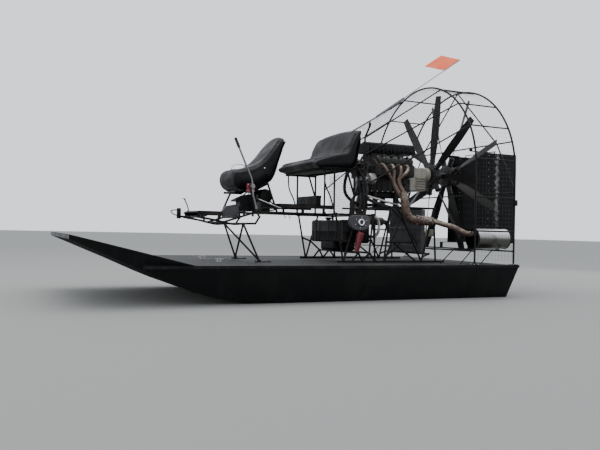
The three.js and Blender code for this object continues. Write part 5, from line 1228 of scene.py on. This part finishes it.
for name, sign in SIDES:
    post = TRUSS * sign
    lines = [((POST_AFT, post, 610), (POST_AFT, post, 1480))]
    plates = [rounded_block((POST_AFT - 20, post - 20, 572.6), (POST_AFT + 20, post + 20, 611), 0.004, steps=3)]
    stays = []
    for low, up in STAYS:
        end = at(*hoop_at(FRONT_HOOP, up, sign))
        start = at(POST_AFT, post, low)
        stays.append(tube([start, end + (start - end) / np.linalg.norm(start - end) * 0.013], 0.0088, 10))
    if sign < 0:
        lines.append(((POST_AFT, post, 1470), (-1755, -600, 1600)))
        plates.append(rounded_block((-1767, -611, 1591), (-1743, -589, 1639.7), 0.003, steps=3))
    joints = knots([(POST_AFT, post, low) for low, _ in STAYS], 14)
    piece(f"cage_stays_{name}", rods(lines, TUBE, 12) + stays + plates + joints, frame_paint, "boat", "frame_black",
          f"cage_struts_{name}", sharp=50)

cradle = []
for sign in (-1, 1):
    cradle.append(((-1038, MUFFLER_SIDE * sign, 174), (-60, MUFFLER_SIDE * sign, 174)))
    cradle += [((low, MUFFLER_SIDE * sign, 5), (high, MUFFLER_SIDE * sign, 174))
               for low, high in ((-905, -711), (-605, -431), (-300, -124))]
piece("muffler_cradle_rods", rods(cradle, 6, 10), frame_paint, "boat", "frame_black", sharp=50)
NET = 0.0009


def net_over(place, rows, cols, row_steps, col_steps):
    """Wires along both ways of a surface place(s, t), with s and t in 0..1."""
    made = []
    s_fine, t_fine = np.linspace(0, 1, row_steps), np.linspace(0, 1, col_steps)
    for s in np.linspace(0, 1, rows):
        made.append(tube(place(np.full(col_steps, s), t_fine), NET, 3))
    for t in np.linspace(0, 1, cols):
        made.append(tube(place(s_fine, np.full(row_steps, t)), NET, 3))
    return made


def round_cage(s, t):
    """Between the hoops: s runs from front to rear, and t up the port side, over the top and down again. The mesh
    lies 18 mm inside the hoops' centre lines."""
    leg, reach = (PROP_UP - 60) / 1000, (HOOP_R - 18) / 1000
    arc = math.pi * reach
    run = t * (2 * leg + arc)
    turn = np.clip((run - leg) / reach, 0, math.pi)
    drop = np.maximum(0.0, np.maximum(leg - run, run - leg - arc))
    x = STERN + (FRONT_HOOP + 16 + s * (REAR_HOOP - FRONT_HOOP - 32)) / 1000
    return np.column_stack([x, -reach * np.cos(turn), DECK + PROP_UP / 1000 - drop + reach * np.sin(turn)])


def cone(low_points, high_turns):
    """Between the posts and the front hoop: t runs along the straight edge between two posts' points and along
    the hoop's arc between two turns, and s from the edge to the arc."""
    (a0, b0), (v0, v1) = low_points, high_turns

    def place(s, t):
        edge = at(*a0) + (at(*b0) - at(*a0)) * np.asarray(t)[:, None]
        turn = v0 + (v1 - v0) * np.asarray(t)
        arc = np.column_stack([np.full(len(turn), STERN + (FRONT_HOOP - 6) / 1000), -(HOOP_R - 4) / 1000 * np.cos(turn),
                               DECK + PROP_UP / 1000 + (HOOP_R - 4) / 1000 * np.sin(turn)])
        return edge + (arc - edge) * np.asarray(s)[:, None]
    return place


turn_of = [math.asin((up - PROP_UP) / HOOP_R) for _, up in STAYS[::-1]]
nets = net_over(round_cage, 12, 114, 2, 150)
for sign in (-1, 1):
    turns = turn_of if sign < 0 else [math.pi - v for v in turn_of]
    for k, (low, high) in enumerate(((900, 1270), (1270, 1470))):
        nets += net_over(cone(((POST_AFT, TRUSS * sign, low), (POST_AFT, TRUSS * sign, high)), turns[k:k + 2]),
                         27, 9, 2, 10)
nets += net_over(cone(((POST_AFT, -TRUSS, 1470), (POST_AFT, TRUSS, 1470)), (turn_of[2], math.pi - turn_of[2])), 27, 20,
                 2, 24)
piece("cage_wire_mesh", nets, mesh_steel, "boat", "frame_black", sharp=180)

# Propellers: eight narrow moulded blades each, of opposite hand, clamped in sockets round a split hub. The
# blades are twisted, widest at mid radius, and cut square at their tips.
blade_resin = weathered("blade_resin", (0.009, 0.0085, 0.0083), 0.44, specular=0.2, dirt=0.35,
                        dirt_colour=(0.03, 0.027, 0.023), scale=5.0, dust_and_light=0.12, bump=0.2)
PROP_R = 1045
BLADE_ROWS = [(60, 46, 62, 40), (150, 52, 55, 28), (300, 84, 42, 18), (550, 108, 30, 13), (800, 106, 23, 10),
              (PROP_R, 84, 18, 7)]


def blade(hand, steps=36, around=28):
    """A blade standing up from the shaft. At each radius the section is an aerofoil, thickness
    t = 2.6 (sqrt(c) - c) (1 - 0.35 c) on a chord c from 0 to 1, turned by the pitch at that radius."""
    rows = smooth_rows(BLADE_ROWS, steps)
    v = np.linspace(0, 2 * np.pi, around, endpoint=False)
    c = 0.5 - 0.5 * np.cos(v)
    t = np.sign(np.sin(v)) * 1.3 * (np.sqrt(c) - c) * (1 - 0.35 * c)
    chord, pitch, thick = rows[:, 1:2] / 1000, np.radians(rows[:, 2:3]), rows[:, 3:4] / 1000
    round_root = np.clip((rows[:, 0:1] - 110) / 120, 0, 1)
    u = (c[None] - 0.5) * chord
    w = (round_root * t[None] + (1 - round_root) * 0.5 * np.sin(v)[None]) * thick
    axial = -hand * (u * np.sin(pitch) - w * np.cos(pitch))
    lateral = u * np.cos(pitch) + w * np.sin(pitch)
    return np.stack([axial, lateral, np.broadcast_to(rows[:, 0:1] / 1000, u.shape)], axis=-1)


def about_shaft(part, degrees, centre):
    """A part turned about the shaft's line through a centre."""
    v = math.radians(degrees)
    turn = np.array([[1, 0, 0], [0, math.cos(v), math.sin(v)], [0, -math.sin(v), math.cos(v)]])
    return part[0] @ turn + centre, part[1], part[2]


for name, plane, hand, phase in (("front", -450, 1, 7), ("rear", -200, -1, 25)):
    centre = at(plane, 0, PROP_UP)
    blades, sockets, bolts = [], [], []
    socket_line = [(0.12, 0.030), (0.148, 0.0345), (0.19, 0.0355), (0.214, 0.0355), (0.216, 0.033), (0.232, 0.033),
                   (0.234, 0.0355), (0.2595, 0.0345), (0.2615, 0.026)]
    for angle in range(phase, phase + 360, 45):
        blades.append(about_shaft(skin(blade(hand)), angle, centre))
        socket = tube(np.array([[0, 0, r] for r, _ in socket_line]), [w for _, w in socket_line], 20,
                      reference=ahead_axis)
        sockets.append(about_shaft(socket, angle, centre))
        for r in (0.172, 0.204):
            for side in (-1, 1):
                bolt = domes(np.array([[0.0, side * 0.0335, r]]), [0, side, 0], 0.007, 0.008)[0]
                bolts.append(about_shaft(bolt, angle, centre))
                ear = domes(np.array([[-0.0345, side * 0.014, r]]), [-1, 0, 0], 0.006, 0.003)[0]
                bolts.append(about_shaft(ear, angle, centre))
    piece(f"{name}_blades", blades, blade_resin, f"{name}_propeller", "blade_grey", f"{name}_prop_blades", sharp=55)
    hub_line = [(0.052, -0.0375), (0.140, -0.0375), (0.148, -0.031), (0.150, -0.024), (0.150, 0.024), (0.148, 0.031),
                (0.140, 0.0375), (0.052, 0.0375)]
    piece(f"{name}_hub_halves", [turned(hub_line, centre, 0, 64)] + sockets, iron, f"{name}_propeller", "blade_grey",
          sharp=40)
    hub_bolts = []
    for end in (1, -1):
        spots = [centre + [0.0375 * end, 0.120 * math.cos(v), 0.120 * math.sin(v)]
                 for v in np.linspace(0, 2 * np.pi, 16, endpoint=False)]
        hub_bolts += domes(spots, [end, 0, 0], 0.007, 0.006)
    piece(f"{name}_hub_bolts", bolts + hub_bolts, worn_steel, f"{name}_propeller", "steel")
dress(worn_steel, "front_prop_hub", "rear_prop_hub")

# Rudders: tall aerofoil blades of thin sheet over ribs, painted gloss black, each on an upright pivot. The
# sheet dips a little between its ribs. A tie bar joins their horns above the top bracket.
rudder_black = weathered("rudder_black", (0.0018, 0.0019, 0.002), 0.26, specular=0.1, dirt=0.3,
                         dirt_colour=(0.012, 0.0115, 0.01), scale=3.0, rough_spread=0.16, dust_and_light=0.1, bump=0.8,
                         depth=0.003)
# Painted reflection: a mottled, weaving pale and more metallic streak up the port rudder's upper part stands for bright
# surroundings mirrored in the gloss.
GLINT_AFT, GLINT_WAVES, GLINT_SWING = STERN + 0.385, 70.0, 0.013
rudder_tree = rudder_black.node_tree
rudder_shader = rudder_tree.nodes["Principled BSDF"]
rudder_paint = rudder_shader.inputs["Base Color"].links[0].from_socket
rudder_place = add_node(rudder_tree, "TexCoord", "Object", {})
aft_of, side_of, up_of = (add_node(rudder_tree, "SeparateXYZ", axis, {"Vector": rudder_place}) for axis in "XYZ")
weaving = times(rudder_tree, add_node(rudder_tree, "Math", "Value", {0: times(rudder_tree, up_of, GLINT_WAVES)},
                                      operation="SINE"), GLINT_SWING)
glint_offset = add(rudder_tree, add(rudder_tree, aft_of, -GLINT_AFT), weaving)
glint_away = add_node(rudder_tree, "Math", "Value", {0: glint_offset}, operation="ABSOLUTE")
painted_glint_mask = times(rudder_tree, spread(rudder_tree, glint_away, 0.018, 0.040, 1.0, 0.0),
                   spread(rudder_tree, noise(rudder_tree, rudder_place, 26.0, 4.0, 0.7), 0.38, 0.60))
for limit in (spread(rudder_tree, up_of, DECK + 0.45, DECK + 0.55),
        spread(rudder_tree, side_of, -0.28, -0.25, 1.0, 0.0)):
    painted_glint_mask = times(rudder_tree, painted_glint_mask, limit)
rudder_tree.links.new(blend_colours(rudder_tree, painted_glint_mask, rudder_paint, (0.17, 0.17, 0.17, 1.0)),
                      rudder_shader.inputs["Base Color"])
rudder_tree.links.new(times(rudder_tree, painted_glint_mask, 0.6), rudder_shader.inputs["Metallic"])
RUDDER_PIVOT, RUDDER_LOW, RUDDER_HIGH = 200, 247, 1450
LEVELS, AROUND = 97, 72
for name, sign in SIDES:
    ups = np.linspace(RUDDER_LOW, RUDDER_HIGH, LEVELS)
    v = np.linspace(0, 2 * np.pi, AROUND, endpoint=False)
    c = 0.5 - 0.5 * np.cos(v)
    half = 0.0245 * 2.6 * (np.sqrt(c) - c) / 0.65
    half = np.minimum(half, 0.0236) * np.sign(np.sin(v))
    rib_dip = 1 - 0.055 * np.sin(np.pi * (ups - RUDDER_LOW) / ((RUDDER_HIGH - RUDDER_LOW) / 12)) ** 2
    x = STERN + (RUDDER_PIVOT - 140 + c * 669) / 1000
    end_round = np.sqrt(np.clip(1 - (np.clip(np.abs(np.linspace(-1, 1, LEVELS)) - 0.985, 0, 1) / 0.016) ** 2, 0.05, 1))
    rings = np.stack([np.broadcast_to(x, (LEVELS, AROUND)),
                      RUDDER_SIDE * sign / 1000 + half[None] * rib_dip[:, None] * end_round[:, None] * 0.97,
                      np.broadcast_to(DECK + ups[:, None] / 1000, (LEVELS, AROUND))], axis=-1)
    horn_top = 1465.7 - (6 if sign > 0 else 0)
    horn = tube([at(350, RUDDER_SIDE * sign, 1440), at(350, RUDDER_SIDE * sign, horn_top)], 0.0078, 14)
    piece(f"rudder_{name}_blade", [skin(rings), horn], rudder_black, f"rudder_{name}", "black_paint",
        f"rudder_{name}", sharp=35)
    trim = domes([at(RUDDER_PIVOT + 40, RUDDER_SIDE * sign + b * 23.6, u) for b in (-1, 1)
                  for u in np.linspace(290, 1410, 13)], [0, 1, 0], 0.0035, 0.0016)
    piece(f"rudder_{name}_rivets", trim, bright_steel, f"rudder_{name}", "steel")
dress(frame_paint, "rudder_tie_bar")

# Flag: plain orange cloth on a thin bent whip mast. It flies forward of the mast and is sewn into a hem along it.
sleeve_grey = weathered("sleeve_grey", (0.11, 0.112, 0.115), 0.5, dirt=0.3, dirt_colour=(0.12, 0.11, 0.1), scale=9.0,
                        dust_and_light=0.1, bump=0.2)
whip = weathered("whip_fibre", (0.02, 0.02, 0.021), 0.4, dirt=0.2, scale=9.0, dust_and_light=0.1, bump=0.2)
mast_foot, mast_top = at(-1755, -600, 1640.3), at(-478, -600, 2533)
mast_bend = mast_foot + [0, 0, 0.015]
mast_length = np.linalg.norm(mast_top - mast_bend)
mast_way = (mast_top - mast_bend) / mast_length
mast_path = np.concatenate([[mast_foot, mast_foot + [0, 0, 0.006]],
                            mast_bend + np.linspace(0.02, mast_length, 30)[:, None] * mast_way])
piece("flag_whip", [tube(mast_path, np.linspace(0.0049, 0.0042, len(mast_path)), 10)], whip, "boat", "plastic_black",
      "flag_mast", sharp=60)
sleeve_line = mast_bend + np.array([0.108, 0.112, 0.30, 0.56, 0.564])[:, None] * mast_way
piece("flag_whip_sleeve", [tube(sleeve_line, [0.009, 0.0135, 0.0135, 0.0135, 0.009], 16)], sleeve_grey, "boat",
      "plastic_black", sharp=60)
weave, weave_in, weave_out = new_group(
    "cloth_weave", {"Colour": (1.0, 0.26, 0.13, 1.0), "Deep": (0.95, 0.2, 0.09, 1.0), "Threads": 900.0},
    {"Colour": "Color", "Height": "Float"})
cloth_map = add_node(weave, "TexCoord", "UV", {})
warp, weft = (add_node(weave, "Math", "Value", {0: times(weave, thread, weave_in.outputs["Threads"])}, operation="SINE")
              for thread in (add_node(weave, "SeparateXYZ", axis, {"Vector": cloth_map}) for axis in "XY"))
faded = noise(weave, add_node(weave, "TexCoord", "Object", {}), 7.0, 4.0)
weave.links.new(blend_colours(weave, spread(weave, faded, 0.35, 0.7), weave_in.outputs["Colour"],
                              weave_in.outputs["Deep"]), weave_out.inputs["Colour"])
weave.links.new(times(weave, warp, weft), weave_out.inputs["Height"])
# Painted light: the cloth also glows faintly orange-red, brightening it as if sunlit.
flag_cloth = finish("flag_cloth", weave, {}, 0.2, 0.0004, Roughness=0.75, Sheen_Weight=0.15,
                    Emission_Color=(1.0, 0.10, 0.05, 1.0), Emission_Strength=0.28)
HOIST, FLY = 0.290, 0.300
hem = np.array([-mast_way[2], 0, mast_way[0]]) * 0.0053
fly_way = np.array([-0.96, 0, 0.05])
steps = 49
s, t = np.meshgrid(np.linspace(0, 1, steps), np.linspace(0, 1, steps), indexing="ij")
cloth_points = (mast_top - mast_way * HOIST * (1 - t[..., None])) + hem + fly_way * FLY * s[..., None]
cloth_points[..., 1] += 0.0016 * np.sin(9.0 * s + 3.5 * t) * s
flag = piece("flag_cloth_sheet", [skin(cloth_points, sheet=True)], flag_cloth, "boat", "flag_orange", "flag",
             sharp=180)
cloth_uv = flag.data.uv_layers.new(name="cloth")
corner_of = np.empty(len(flag.data.loops), np.int32)
flag.data.loops.foreach_get("vertex_index", corner_of)
corner_places = np.column_stack([s.ravel()[corner_of], t.ravel()[corner_of]])
cloth_uv.data.foreach_set("uv", corner_places.astype(np.float32).ravel())
thick = flag.modifiers.new("cloth_thickness", "SOLIDIFY")
thick.thickness = 0.0012
thick.offset = 0.0
